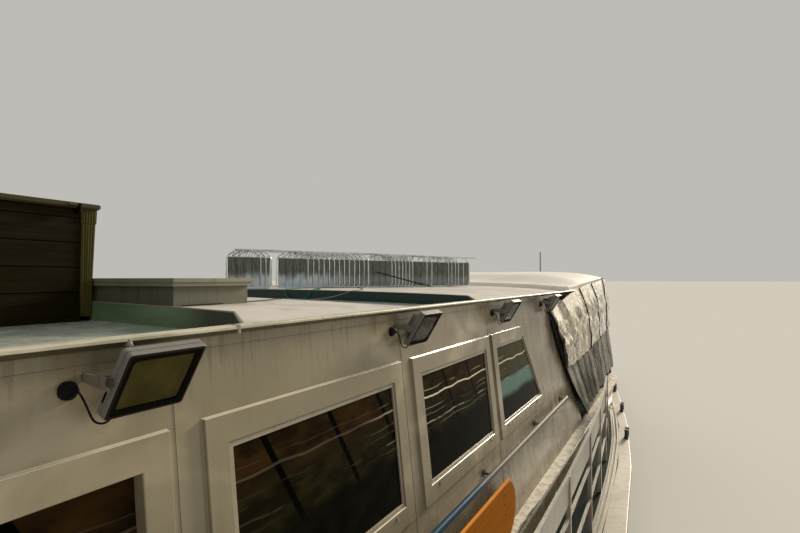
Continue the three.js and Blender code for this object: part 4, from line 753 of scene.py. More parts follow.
def set_camera():
    """A 24 mm lens on a 36 mm frame, a little outboard of the starboard side and above the roof."""
    data = bpy.data.cameras.new("camera")
    data.sensor_width = 36
    data.lens = 24
    data.clip_start = 0.05
    data.clip_end = 2000
    camera = bpy.data.objects.new("camera", data)
    bpy.context.scene.collection.objects.link(camera)
    yaw = math.radians(CAMERA_YAW)
    pitch = math.radians(CAMERA_PITCH)
    ahead = Vector((math.cos(yaw) * math.cos(pitch), math.sin(yaw) * math.cos(pitch), math.sin(pitch)))
    camera.rotation_mode = "QUATERNION"
    camera.rotation_quaternion = ahead.to_track_quat("-Z", "Y")
    camera.location = CAMERA_SPOT
    bpy.context.scene.camera = camera


def set_stage():
    """A pale studio, one low and softened sun from the bow, and a wide floor at the waterline."""
    world = bpy.data.worlds.new("studio")
    bpy.context.scene.world = world
    world.use_nodes = True
    back = world.node_tree.nodes["Background"]
    back.inputs["Color"].default_value = paint("#eae8e2")
    back.inputs["Strength"].default_value = 0.62
    sun = bpy.data.lights.new("low_key", "SUN")
    sun.energy = 4.4
    sun.angle = math.radians(12)
    sun.color = paint("#fff0d8")[:3]
    key = bpy.data.objects.new("low_key", sun)
    bpy.context.scene.collection.objects.link(key)
    key.rotation_mode = "QUATERNION"
    key.rotation_quaternion = Vector((-1, 0.16, -0.36)).to_track_quat("-Z", "Y")
    floor = Shape()
    floor.put([(-900, -900, 0), (900, -900, 0), (900, 900, 0), (-900, 900, 0)], [(0, 1, 2, 3)])
    mesh = bpy.data.meshes.new("floor")
    mesh.from_pydata(floor.points, [], floor.faces)
    made, _, shader = start("floor_pale", rough=0.7)
    shader.inputs["Base Color"].default_value = paint("#d4d3cf")
    shader.inputs["Specular IOR Level"].default_value = 0.0
    mesh.materials.append(made)
    piece = bpy.data.objects.new("floor", mesh)
    bpy.context.scene.collection.objects.link(piece)
    bpy.context.scene.view_settings.view_transform = "Standard"
    bpy.context.scene.view_settings.look = "None"


set_camera()
set_stage()


# Geometry Nodes that repeat a piece
def repeat_tree():
    """One piece copied to the points of a mesh, each copy tilted a little at random."""
    tree = bpy.data.node_groups.new("copies_at_points", "GeometryNodeTree")
    face = tree.interface
    face.new_socket("Points", in_out="INPUT", socket_type="NodeSocketGeometry")
    face.new_socket("Piece", in_out="INPUT", socket_type="NodeSocketObject")
    face.new_socket("Tilt", in_out="INPUT", socket_type="NodeSocketFloat")
    face.new_socket("Seed", in_out="INPUT", socket_type="NodeSocketInt")
    face.new_socket("Finish", in_out="INPUT", socket_type="NodeSocketMaterial")
    face.new_socket("Copies", in_out="OUTPUT", socket_type="NodeSocketGeometry")
    given = add(tree, GROUP_INPUT)
    most = add(tree, SCALED, (1, 1, 1), given["Tilt"])
    least = add(tree, SCALED, most, -1.0)
    tilt = add(tree, RANDOM_TILT, least, most, given["Seed"])
    piece = add(tree, OBJECT_SHAPE, given["Piece"])
    spread = add(tree, PUT_AT_POINTS, given["Points"], piece, tilt)
    whole = add(tree, REALIZE, spread)
    add(tree, GROUP_OUTPUT, add(tree, SET_FINISH, whole, given["Finish"]))
    return tree


COPIES = repeat_tree()


def copies(name, piece, points, material, body, replaces=(), tilt=0.0, seed=1):
    """A piece repeated at points, as one plain mesh."""
    mesh = bpy.data.meshes.new(name)
    mesh.from_pydata([tuple(p) for p in points], [], [])
    whole = bpy.data.objects.new(name, mesh)
    bpy.context.scene.collection.objects.link(whole)
    modifier = whole.modifiers.new("copies", "NODES")
    modifier.node_group = COPIES
    given = {"Piece": piece, "Tilt": tilt, "Seed": seed, "Finish": material}
    for item in COPIES.interface.items_tree:
        if item.in_out == "INPUT" and item.name in given:
            modifier[item.identifier] = given[item.name]
    plain_copy(whole)
    bpy.data.objects.remove(piece)
    return settle(whole, body, replaces, 35)


def smooth_path(points, steps=6):
    """More points on a smooth curve through the given ones."""
    points = [Vector(p) for p in points]
    ends = [points[0] * 2 - points[1], *points, points[-1] * 2 - points[-2]]
    path = []
    for a, b, c, d in zip(ends, ends[1:], ends[2:], ends[3:]):
        for i in range(steps):
            t = i / steps
            square = (a * 2 - b * 5 + c * 4 - d) * t * t
            curve = b * 2 + (c - a) * t + square + (b * 3 - a - c * 3 + d) * t**3
            path.append(curve / 2)
    return [*path, points[-1]]


def lead(name, points, diameter, material, sides=10):
    """A free cord from its exit to where it goes back into the boat."""
    path = smooth_path(points)
    shape = Shape()
    shape.tube(path, diameter / 2, sides)
    piece = shape.make(name, "boat", [material], smooth=60)
    length = sum((b - a).length for a, b in zip(path, path[1:]))
    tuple(path[0])
    [tuple(p) for p in path]


def arc(x, z, radius, from_angle, to_angle, count):
    """Points on part of a circle."""
    turns = [from_angle + (to_angle - from_angle) * i / (count - 1) for i in range(count)]
    return [(x + radius * math.cos(t), z + radius * math.sin(t)) for t in turns]


# Floodlights and their leads
LAMP_PITCH = 1.96
LAMP_FORE = 1.0
LAMPS = 4
LAMP_Y = 3.36
LAMP_Z = 3.384
LAMP_LEAN = 0.54
# Columns: from the lamp's middle along the boat, out from the centreline, height.
LEAD_POINTS = [
    (-0.181, 3.240, 3.374),
    (-0.1805, 3.252, 3.371),
    (-0.175, 3.261, 3.356),
    (-0.163, 3.262, 3.329),
    (-0.147, 3.266, 3.289),
    (-0.137, 3.276, 3.276),
    (-0.120, 3.284, 3.2735),
    (-0.100, 3.283, 3.285),
    (-0.085, 3.277, 3.312),
]


def rounded(half_a, half_b, radius):
    """A rounded rectangle's points, four to a corner."""
    points = []
    for i, (a, b) in enumerate(((1, 1), (-1, 1), (-1, -1), (1, -1))):
        turn = math.pi / 2 * i
        centre = (a * (half_a - radius), b * (half_b - radius))
        points += arc(*centre, radius, turn, turn + math.pi / 2, 4)
    return points


def lamp_place(x, side):
    """Turns a lamp's own (along, up, out) into the boat's coordinates."""
    sin, cos = math.sin(LAMP_LEAN), math.cos(LAMP_LEAN)

    def turn(a, b, c):
        return Vector((x + a, side * (LAMP_Y + b * sin + c * cos), LAMP_Z + b * cos - c * sin))

    return turn


def floodlight(shape, x, side):
    """One lamp. Its rows give half length, half height, corner radius and how far out of its face."""
    turn = lamp_place(x, side)

    def rings(rows, slot):
        loops = [[turn(a, b, out) for a, b in rounded(ha, hb, r)] for ha, hb, r, out in rows]
        shape.loft(loops, slot, False)

    back = [(0.088, 0.062, 0.01, -0.075), (0.1, 0.07, 0.012, -0.071), (0.128, 0.098, 0.012, -0.042)]
    body = [(0.14, 0.117, 0.012, -0.036), (0.14, 0.117, 0.012, -0.02), (0.137, 0.114, 0.012, -0.0185)]
    lip = [(0.137, 0.114, 0.012, -0.0155), (0.14, 0.117, 0.012, -0.014), (0.14, 0.117, 0.012, 0.0)]
    rings([*back, *body, *lip, (0.138, 0.115, 0.011, 0.002)], 0)
    shape.put([turn(a, b, -0.075) for a, b in rounded(0.088, 0.062, 0.01)], [tuple(range(16))], 0)
    rings([(0.138, 0.115, 0.011, 0.002), (0.129, 0.107, 0.012, 0.0035)], 1)
    gasket = [(0.129, 0.107, 0.012, 0.0035), (0.128, 0.106, 0.012, 0.001), (0.112, 0.09, 0.014, 0.0012)]
    rings(gasket, 2)
    rings([(0.112, 0.09, 0.014, 0.0012), (0.111, 0.089, 0.014, -0.006)], 2)
    rings([(0.111, 0.089, 0.014, -0.006), (0.098, 0.078, 0.008, -0.016), (0.09, 0.07, 0.006, -0.018)], 3)
    shape.put([turn(a, b, -0.018) for a, b in rounded(0.09, 0.07, 0.006)], [tuple(range(16))], 3)
    shape.loft([[turn(a, b, out) for a, b in rounded(0.113, 0.091, 0.014)] for out in (-0.004, -0.001)], 4)
    for a in [-0.07 + 0.02 * i for i in range(8)]:
        fin = [(a - 0.0012, -0.06), (a + 0.0012, -0.06), (a + 0.0012, 0.06), (a - 0.0012, 0.06)]
        shape.loft([[turn(p, q, out) for p, q in fin] for out in (-0.094, -0.074)], 0)
    slot_face = [(-0.1402, -0.07), (-0.1402, 0.0), (-0.1412, 0.0), (-0.1412, -0.07)]
    shape.loft([[turn(p, q, out) for p, q in slot_face] for out in (-0.032, -0.024)], 2)
    wall = wall_out(3.406)
    for end in (-1, 1):
        arm_x = x + end * 0.1445
        arm = [(arm_x, side * (wall + 0.001)), (arm_x, side * (LAMP_Y - 0.02))]
        depths = ((3.394, 3.42), (3.372, 3.415))
        ring = [
            [(px + w, py, h) for w in (-0.003, 0.003) for h in heights]
            for (px, py), heights in zip(arm, depths)
        ]
        shape.loft([[r[0], r[1], r[3], r[2]] for r in ring], 5)
        shape.disc(turn(end * 0.149, 0.006, -0.025), (1, 0, 0), 0.011, 0.008, 6, 6)
        shape.disc(turn(end * 0.1475, 0.006, -0.025), (1, 0, 0), 0.015, 0.003, 20, 6)
    shape.box((x - 0.1475, x + 0.1475), (side * (wall + 0.001), side * (wall + 0.005)), (3.398, 3.416), 5)
    tip = turn(-0.104, 0.104, -0.052)
    shape.tube([tip, tip + Vector((0, 0, 0.024))], 0.004, 8, 6)
    shape.disc(tip + Vector((0, 0, 0.012)), (0, 0, 1), 0.009, 0.007, 6, 6)
    shape.disc(tip + Vector((0, 0, 0.006)), (0, 0, 1), 0.011, 0.002, 16, 6)


def junction(shape, x, side):
    """The round box on the wall, with its gland, that a lamp's lead comes out of."""
    wall = side * wall_out(3.375)
    shape.disc((x, wall + side * 0.006, 3.375), (0, side, WALL_LEAN), 0.028, 0.014, 24)
    shape.disc((x, wall + side * 0.014, 3.375), (0, side, WALL_LEAN), 0.022, 0.008, 24)
    end = Vector((x + 0.0115, side * 3.24, 3.374))
    shape.tube([(x, wall + side * 0.012, 3.375), end], 0.0085, 12)
    shape.disc(end, end - Vector((x, wall, 3.375)), 0.0105, 0.008, 8)


lamp_xs = [LAMP_FORE - LAMP_PITCH * i for i in range(LAMPS)]
for name, side in BOTH_SIDES:
    for i, x in enumerate(lamp_xs):
        points = [(x + along, side * out, z) for along, out, z in LEAD_POINTS]
        lead(f"lamp_lead_{name}_{i + 1}", points, 0.0065, RUBBER)

for name, side in BOTH_SIDES:
    lamps = Shape()
    boxes = Shape()
    for x in lamp_xs:
        floodlight(lamps, x, side)
        junction(boxes, x - 0.1925, side)
    finishes = [LAMP, BEZEL, GASKET, REFLECTOR, CLEAR, BRACKET, STEEL]
    lamps.make("floodlights_finished_" + name, "boat", finishes, ["floodlights_" + name], 35, 0.0008)
    boxes.make("lamp_junctions_" + name, "boat", [RUBBER], smooth=40)

# A thin cable on the roof beside the hatch box, which sags over the forward bay to the chairs
CABLE_ON_ROOF = [(-3.77, -2.14), (-3.5, -2.124), (-3.2, -2.09), (-2.9, -2.03), (-2.68, -1.96)]
CABLE_OVER_BAY = [
    (-2.3, -1.83, 3.521),
    (-1.9, -1.7, 3.507),
    (-1.5, -1.56, 3.504),
    (-1.1, -1.42, 3.513),
    (-0.75, -1.3, 3.534),
]
CABLE_TO_CHAIRS = [(-0.47, -1.22), (-0.1, -1.12), (0.35, -0.86), (0.85, -0.52), (1.35, -0.14)]
cable_route = [(x, y, roof_top(y) + 0.005) for x, y in CABLE_ON_ROOF] + CABLE_OVER_BAY
cable_route += [(x, y, roof_top(y) + 0.005) for x, y in CABLE_TO_CHAIRS]
lead("roof_cable", cable_route, 0.008, RUBBER)


# A green rope that lies at the foot of the chairs, over the edge of the bay and back
green_route = [(0.5, 0.3), (0.2, 0.1), (-0.1, -0.02), (-0.3, -0.1), (-0.45, -0.16)]
green_back = [(-0.45, -0.62), (-0.3, -0.6), (-0.05, -0.42), (0.25, -0.15), (0.55, 0.02), (0.8, 0.1)]
in_bay = [(-0.522, -0.2, 3.53), (-0.53, -0.24, 3.48), (-0.56, -0.3, 3.452), (-0.64, -0.4, 3.449)]
in_bay += [(-0.62, -0.5, 3.449), (-0.55, -0.56, 3.46), (-0.525, -0.6, 3.51)]
green_points = [(x, y, roof_top(y) + 0.008) for x, y in green_route] + in_bay
green_points += [(x, y, roof_top(y) + 0.008) for x, y in green_back]
lead("chair_rope_green", green_points, 0.012, ROPE_GREEN, 8)


# CAD nodes that keep their shape
for node in pair("side_wall") + ["aft_bulkhead", "windscreen_frame", "foredeck_coaming", "wheelhouse"]:
    refined(node, CREAM, 0.004)
refined("roof", ROOF, 0.004)
for node in pair("guard"):
    refined(node, GUARD, 0.008)
refined("main_deck", DECK, 0.0)
refined("hull", HULL, 0.0)
refined("wheelhouse_roof", WHITE, 0.006)
refined("jackstaff", STAFF, 0.0)
refined("hatch_box", HATCH, 0.003)
refined("hatch_lid", HATCH_LID, 0.004)
refined("companion_stair", VARNISH, 0.003)
for node in pair("saloon_door") + pair("wheelhouse_door") + ["helm_stand", "helm_wheel"]:
    refined(node, VARNISH, 0.002)
refined("canopy_frame", STEEL, 0.0)
refined("name_board", BOARD, 0.004)
rim = Shape()
rim.box((-4.05, -1.44), (-3.478, -3.454), (1.9745, 1.9795))
for x, z in ((-1.62, 1.82), (-1.6, 1.735), (-1.65, 1.91)):
    rim.disc((x, -3.4835, z), (0, 1, 0), 0.009, 0.006, 12, 1)
rim.make("board_rim_and_screws", "boat", [BOARD_RIM, IRON], bevel=0.001)
for node in pair("side_rail") + pair("boarding_gate") + ["stern_rail", "signal_mast"]:
    refined(node, PALE, 0.002)
for node in pair("wheel_beam") + pair("rudder"):
    refined(node, OXIDE, 0.004)
refined("paddle_wheel", WHEEL_RED, 0.0)
refined("funnel", DARK, 0.0)
refined("funnel_base", DARK, 0.004)
refined("boiler_block", DARK, 0.004)
for node in pair("bow_bollards"):
    refined(node, IRON, 0.004)
dress(GLASS, *pair("side_glass"), "windscreen_glass", "wheelhouse_glass_fore", "wheelhouse_glass_aft")


# Roof trim: a pale lip with painted shade on its underside, over a strip as flat as the wall
TRIM_ENDS = (-13.3, 5.9)
for name, side in BOTH_SIDES:
    trim = Shape()
    strip = [(3.2003, 3.4403), (3.2078, 3.4403), (3.2078, 3.484), (3.2003, 3.484)]
    lip = [(3.2003, 3.4845), (3.23, 3.4845), (3.262, 3.504), (3.262, 3.514), (3.257, 3.518)]
    lip.append((3.2003, 3.518))
    for slot, outline in enumerate((strip, lip)):
        trim.loft([[(x, side * out, z) for out, z in outline] for x in TRIM_ENDS], slot)
    trim.make("roof_trim_finished_" + name, "boat", [CREAM, TRIM], ["roof_trim_" + name], bevel=0.0015)


# Bow canopy: one shell, flat on top with a rounded shoulder and a rim, its aft edge laid on the roof
CANOPY_AFT = 2.9
CANOPY_TURN = 6.5
CANOPY_ROUND = 2.1
CANOPY_HALF = 3.19
CANOPY_RIM = 0.07
CANOPY_ROOF_END = 5.95
CANOPY_EASE = 1.3
CANOPY_SHOULDER = 3.1
CANOPY_STEPS = 40


def canopy_rim(x):
    """Height of the canopy's rim, which rises towards the bow."""
    return 3.563 + 0.175 * min((x - CANOPY_AFT) / 4.4, 1.1)


def canopy_spot(y, share):
    """A point of the canopy's top, from its aft edge (share 0) to the bow (share 1)."""
    aft = CANOPY_AFT + 2.5 * (1 - (y / ROOF_HALF) ** 2)
    fore = CANOPY_TURN + CANOPY_ROUND * max(0.0, 1 - (y / CANOPY_HALF) ** 2) ** (1 / 3)
    x = aft + (fore - aft) * share
    round_in = max(0.0, x - CANOPY_TURN) / CANOPY_ROUND
    edge = min(1.0, math.sqrt((y / CANOPY_HALF) ** 2 + round_in**3))
    full = canopy_rim(x) + 0.16 * (1 - edge**6) - 0.05 * (1 - edge**2) ** 2
    ease = min(1.0, (x - aft) / CANOPY_EASE)
    low = roof_top(y) + CANOPY_RIM
    share_up = ease * ease * (3 - 2 * ease) if abs(y) < CANOPY_SHOULDER else max(ease, 0.6)
    return Vector((x, y, low + (full - low) * share_up))


canopy = Shape()
canopy_ys = [CANOPY_HALF * math.sin(math.pi / 2 * k / 24) for k in range(-24, 25)]
canopy_rows = [[canopy_spot(y, k / CANOPY_STEPS) for k in range(CANOPY_STEPS + 1)] for y in canopy_ys]
quads = []
for r in range(len(canopy_rows) - 1):
    for k in range(CANOPY_STEPS):
        a = r * (CANOPY_STEPS + 1) + k
        quads.append((a, a + 1, a + CANOPY_STEPS + 2, a + CANOPY_STEPS + 1))
canopy.put([p for row in canopy_rows for p in row], quads)
around = [row[0] for row in canopy_rows] + canopy_rows[-1][1:]
around += [row[-1] for row in reversed(canopy_rows[:-1])] + list(reversed(canopy_rows[0][1:-1]))
foot = []
for p in around:
    low = p.z - CANOPY_RIM
    if p.x < CANOPY_ROOF_END:
        seat = roof_top(p.y) + 0.0008
        low = seat if abs(p.y) < CANOPY_SHOULDER else max(low, seat)
    foot.append(Vector((p.x, p.y, low)))
canopy.loft([around, foot], caps=False)
shell = canopy.raw("bow_canopy_finished", [WHITE])
walls = shell.modifiers.new("thickness", "SOLIDIFY")
walls.thickness = 0.005
walls.offset = -1
plain_copy(shell)
settle(shell, "boat", ["bow_canopy"], 40)


# Windows: pale sashes with panes near their face, and a screw at each lower corner
FRAME_PROUD = 0.018
SASH_WIDE = 0.024
RAKED_AFT = -1.15
RAKED_FOOT = 0.3
RAKED_LEAN = 0.71
SCREW_INSET = 0.12
SCREW_Z = 2.322
NEAR_WINDOW = 2


def window_outlines(inset):
    """The openings' corners as x and height: the square windows and the raked one before them."""
    low, high = WINDOW_LOW + inset, WINDOW_HIGH - inset
    outlines = []
    for i in range(SQUARE_WINDOWS):
        middle = LAST_WINDOW_X - i * WINDOW_PITCH
        aft, fore = middle - WINDOW_LONG / 2 + inset, middle + WINDOW_LONG / 2 - inset
        outlines.append([(aft, low), (fore, low), (fore, high), (aft, high)])
    slant = inset * math.hypot(1, RAKED_LEAN)
    fore_edge = [RAKED_FOOT - (z - WINDOW_LOW) * RAKED_LEAN - slant for z in (low, high)]
    aft, (foot, head) = RAKED_AFT + inset, fore_edge
    outlines.append([(aft, low), (foot, low), (head, high), (aft, high)])
    return outlines


def on_wall(outline, side, out):
    """An outline of x and height laid on the leaning wall, some way out of it."""
    return [Vector((x, side * (wall_out(z) + out), z)) for x, z in outline]


for name, side in BOTH_SIDES:
    sashes = Shape()
    panes = Shape()
    for i, (outer, inner) in enumerate(zip(window_outlines(0.0015), window_outlines(SASH_WIDE))):
        open_sash = i == NEAR_WINDOW and side < 0
        if not open_sash:
            loops = [(outer, 0.009), (inner, 0.011), (inner, -0.016), (outer, -0.016), (outer, 0.009)]
            sashes.loft([on_wall(outline, side, out) for outline, out in loops], caps=False)
        depth = -0.03 if open_sash else 0.001
        pane = outer if open_sash else window_outlines(SASH_WIDE - 0.004)[i]
        panes.loft([on_wall(pane, side, depth), on_wall(pane, side, depth - 0.006)])
    sashes.make("window_sashes_" + name, "boat", [SASH], bevel=0.0022)
    panes.make("window_panes_" + name, "boat", [GLASS], smooth=20)
    screw = Shape()
    screw.disc((0, side * 0.002, 0), (0, side, 0), 0.012, 0.006, 14)
    screw.disc((0, side * 0.006, 0), (0, side, 0), 0.008, 0.004, 14)
    head = screw.raw("screw_head", [PALE])
    spots = []
    for outline in window_outlines(SCREW_INSET):
        spots += [(x, side * (wall_out(SCREW_Z) + FRAME_PROUD), SCREW_Z) for x, _ in outline[:2]]
    copies("window_screws_" + name, head, spots, SASH, "boat", tilt=0.05, seed=3)


# Welded seams on the side plates, between the windows
for name, side in BOTH_SIDES:
    seams = Shape()
    xs = [LAST_WINDOW_X + 0.81 - i * WINDOW_PITCH for i in range(SQUARE_WINDOWS + 1)]
    for x in xs:
        line = [(x, side * (wall_out(z) + 0.0008), z) for z in (1.69, 2.0, 2.4, 2.8, 3.2, 3.425)]
        seams.tube(line, 0.0018, 6)
    seams.make("wall_seams_" + name, "boat", [CREAM], smooth=60)


# Handrail
HAND_Z = 2.125
HAND_Y = wall_out(HAND_Z) + 0.085
HAND_AFT = -12.6
HAND_FORE = 1.35
BRACKETS = [1.28, *[-0.09 - WINDOW_PITCH * i for i in range(8)]]
for name, side in BOTH_SIDES:
    rail = Shape()
    y = side * HAND_Y
    xs = [HAND_AFT, HAND_AFT + 0.004, *[HAND_AFT + 0.5 * i for i in range(1, 28)]]
    xs += [HAND_FORE - 0.004, HAND_FORE]
    sizes = [0.018, *[0.023] * 29, 0.018]
    rail.tube([(x, y, HAND_Z) for x in xs], sizes, 20)
    for bracket_x in BRACKETS:
        wall = side * (wall_out(HAND_Z) + 0.001)
        plate_z = HAND_Z - 0.01
        bend = (bracket_x, y - side * 0.03, HAND_Z - 0.012)
        rail.tube(smooth_path([(bracket_x, wall, plate_z), bend, (bracket_x, y, HAND_Z)], 4), 0.011, 12)
        rail.disc((bracket_x, wall + side * 0.004, plate_z), (0, side, WALL_LEAN), 0.034, 0.009, 24, 1)
        for turn in (0.5, 2.6, 4.7):
            screw_x = bracket_x + 0.023 * math.cos(turn)
            spot = (screw_x, wall + side * 0.01, plate_z + 0.023 * math.sin(turn))
            rail.disc(spot, (0, side, WALL_LEAN), 0.005, 0.005, 8, 2)
    rail.make("handrail_finished_" + name, "boat", [HANDRAIL, DARK, STEEL], ["handrail_" + name], 50)


# Companion: boards between fluted corner boards, with a block over each
CASING_AFT = -5.93
CASING_FORE = -3.865
CASING_HALF = 1.38
BOARD_PITCH = 0.158
BOARD_FOOT = 3.46
BLOCK_FOOT = 4.058
# Columns of the shaft and the block over it: foot, head, how proud, how far out at the foot and the head.
CORNER_BOARD = ((3.46, BLOCK_FOOT, 0.0, 0.002, 0.026), (BLOCK_FOOT, 4.1495, 0.004, 0.03, 0.034))
casing = Shape()
for side in (-1, 1):
    wall_ys = (side * (CASING_HALF - 0.05), side * CASING_HALF)
    casing_zs = (roof_top(CASING_HALF) - 0.09, 4.15)
    casing.box((CASING_AFT, CASING_FORE), wall_ys, casing_zs)
    end_xs = (CASING_AFT, CASING_AFT + 0.05) if side < 0 else (CASING_FORE - 0.05, CASING_FORE)
    casing.box(end_xs, (-CASING_HALF + 0.05, CASING_HALF - 0.05), casing_zs)
    for x in (CASING_AFT + 0.1, CASING_FORE - 0.1):
        ear_ys = (side * CASING_HALF, side * (CASING_HALF + 0.066))
        casing.box((x - 0.006, x + 0.006), ear_ys, (4.12, 4.178))
casing.make("companion_casing_finished", "boat", [PLANK], ["companion_casing"], bevel=0.003)
for name, side in BOTH_SIDES:
    lid = Shape()
    lid_ys = (side * 0.003, side * (CASING_HALF + 0.036))
    lid.box((CASING_AFT - 0.04, CASING_FORE + 0.04), lid_ys, (4.1503, 4.186))
    edge_ys = (lid_ys[1], lid_ys[1] + side * 0.006)
    lid.box((CASING_AFT - 0.046, CASING_FORE + 0.046), edge_ys, (4.158, 4.183))
    hinge_y = side * (CASING_HALF + 0.05)
    for x in (CASING_AFT + 0.14, CASING_FORE - 0.14):
        lid.tube([(x - 0.03, hinge_y, 4.168), (x + 0.03, hinge_y, 4.168)], 0.008, 12)
    node = "companion_lid_" + name
    lid.make("companion_lid_finished_" + name, node, [CAP_WOOD], [node], bevel=0.004)
boards = Shape()
for i in range(5):
    low = BOARD_FOOT - 0.06 * (i == 0) + BOARD_PITCH * i
    high = BOARD_FOOT + BOARD_PITCH * (i + 1) - 0.006 - 0.06 * (i == 4)
    for side in (-1, 1):
        y = side * (CASING_HALF + 0.0005)
        boards.box((CASING_AFT + 0.066, CASING_FORE - 0.066), (y, y + side * 0.011), (low, high))
        x = (CASING_AFT - 0.0005) if side < 0 else (CASING_FORE + 0.0005)
        boards.box((x, x + side * 0.006), (-CASING_HALF, CASING_HALF), (low + 0.03 * (side > 0), high))
boards.make("companion_boards", "boat", [PLANK], bevel=0.003)
flutes = Shape()
for side in (-1, 1):
    y = side * (CASING_HALF + 0.018)
    for edge, ahead in ((CASING_AFT, -1), (CASING_FORE, 1)):
        back = edge - ahead * 0.065
        for low, high, proud, foot_out, head_out in CORNER_BOARD:
            ring = [(back - ahead * proud, low), (edge + ahead * foot_out, low)]
            ring += [(edge + ahead * head_out, high), (back - ahead * proud, high)]
            outs = (side * (CASING_HALF + 0.001), y + side * proud)
            flutes.loft([[(px, out, pz) for px, pz in ring] for out in outs])
        for step in range(5):
            x = back + ahead * (0.01 + 0.0125 * step)
            spread = ahead * 0.005 * step
            flutes.tube([(x, y, 3.47), (x + spread, y, BLOCK_FOOT - 0.012)], 0.0042, 8)
            out = y + side * 0.004
            flutes.tube([(x + spread, out, BLOCK_FOOT + 0.01), (x + spread, out, 4.14)], 0.005, 8)
flutes.make("companion_corner_boards", "boat", [PILASTER], bevel=0.001)


# White beads along the forward edges of the sunken bays, and a strap over a joint in the trim
# Columns: the bead's forward line, how far aft its cut-off corner runs, where the corner starts.
BAY_EDGES = ((-3.842, 0.45, 2.64), (-0.492, 0.87, 2.736))
beads = Shape()
for fore, corner, corner_from in BAY_EDGES:
    for side in (-1, 1):
        outline = [(fore, 0.0), (fore, side * corner_from), (fore - corner, side * 3.15)]
        steps = [outline[0]]
        for (ax, ay), (bx, by) in zip(outline, outline[1:]):
            steps += [(ax + (bx - ax) * k / 8, ay + (by - ay) * k / 8) for k in range(1, 9)]
        beads.tube([(x, y, roof_top(y) + 0.001) for x, y in steps], 0.009, 8, flat=0.5)
beads.make("bay_edge_beads", "boat", [SASH], smooth=60)
joint_mark = Shape()
joint_mark.box((-4.443, -4.428), (-3.2635, -3.2), (3.4855, 3.5205))
joint_mark.make("trim_joint_strap", "boat", [SASH], bevel=0.002)


# Chairs: a bent tube, four bowed slats and ribs over the top, nested in six stacks
CHAIR_ROW = ((-0.45, 0.8), (3.95, -1.12))
CHAIR_HALF = 0.25
CHAIR_TURN = 0.3
# Columns: place of the first chair's forward edge along the row, number of chairs, pitch.
CHAIR_STACKS = [
    (0.436, 3, 0.08),
    (1.212, 13, 0.096),
    (2.86, 7, 0.079),
    (3.671, 2, 0.123),
    (4.219, 4, 0.089),
    (4.784, 1, 0.0),
]
row_from = Vector((*CHAIR_ROW[0], roof_top(0) - 0.01))
row_ahead = (Vector(CHAIR_ROW[1]) - Vector(CHAIR_ROW[0])).normalized()
row_turn = math.atan2(row_ahead.y, row_ahead.x)


def angles(first, last, count):
    """Evenly spaced angles, both ends included."""
    return [first + (last - first) * i / (count - 1) for i in range(count)]


def chair_shapes():
    """The frame of tubes and the slats of one chair."""
    chair = Shape()
    slats = Shape()
    half, tube = CHAIR_HALF - 0.012, 0.0115
    foot, shoulder, top = 0.022, 0.42, 0.575
    loop = [(w, 0, z) for w, z in arc(half - 0.05, foot + 0.05, 0.05, -math.pi / 2, 0, 5)]
    rise = top - shoulder
    hoop = [(half * math.cos(t), 0.0, shoulder + rise * math.sin(t)) for t in angles(0, math.pi, 17)]
    loop += hoop + [(-w, 0, z) for w, _, z in reversed(loop)]
    lean = [(w, 0.02 * max(0, z - shoulder) / (top - shoulder), z) for w, _, z in loop]
    chair.tube(lean, tube, 10, loop=True)
    bar = 0.468
    chair.tube([(-half + 0.01, 0.0, bar), (0, -0.006, bar), (half - 0.01, 0.0, bar)], 0.008, 8)
    for w in (-0.168, -0.056, 0.056, 0.168):
        rows = []
        for i in range(7):
            z = foot + (bar - foot) * i / 6
            bow = -0.007 - 0.008 * math.sin(math.pi * i / 6)
            edge = [(w - 0.052, bow + 0.003), (w - 0.046, bow), (w + 0.046, bow), (w + 0.052, bow + 0.003)]
            rows.append([(a, b, z) for a, b in edge] + [(a, b + 0.003, z) for a, b in reversed(edge)])
        slats.loft(rows)
        over = [(w, 0.0, bar)]
        for i in range(1, 6):
            t = i / 5
            reach = min(half - 0.03, w + 0.07)
            height = shoulder + (top - shoulder) * math.sqrt(max(0.05, 1 - (reach / half) ** 2))
            over.append((w + (reach - w) * t, 0.02 * t, bar + (height - bar) * math.sin(t * math.pi / 2)))
        chair.tube(over, 0.007, 6)
    return chair, slats


def row_place(along, across, up=0.0):
    """A point of the row, along it and to port of its starboard face."""
    flat = Vector(CHAIR_ROW[0]) + row_ahead * along + Vector((-row_ahead.y, row_ahead.x)) * across
    return Vector((flat.x, flat.y, row_from.z + up))


chair_spots = []
for edge, count, pitch in CHAIR_STACKS:
    for i in range(count):
        along = edge + i * pitch - CHAIR_HALF * math.cos(CHAIR_TURN)
        chair_spots.append(row_place(along, CHAIR_HALF * math.sin(CHAIR_TURN)))
turned = Matrix.Rotation(row_turn - CHAIR_TURN, 3, "Z")
for name, one, finish_with in zip(("frames", "slats"), chair_shapes(), (ALLOY, SLAT_ALLOY)):
    one.points = [tuple(turned @ Vector(p)) for p in one.points]
    piece = one.raw("one_chair_" + name, [finish_with])
    copies("chair_" + name, piece, chair_spots, finish_with, "boat", ["deck_chairs"], tilt=0.012, seed=7)
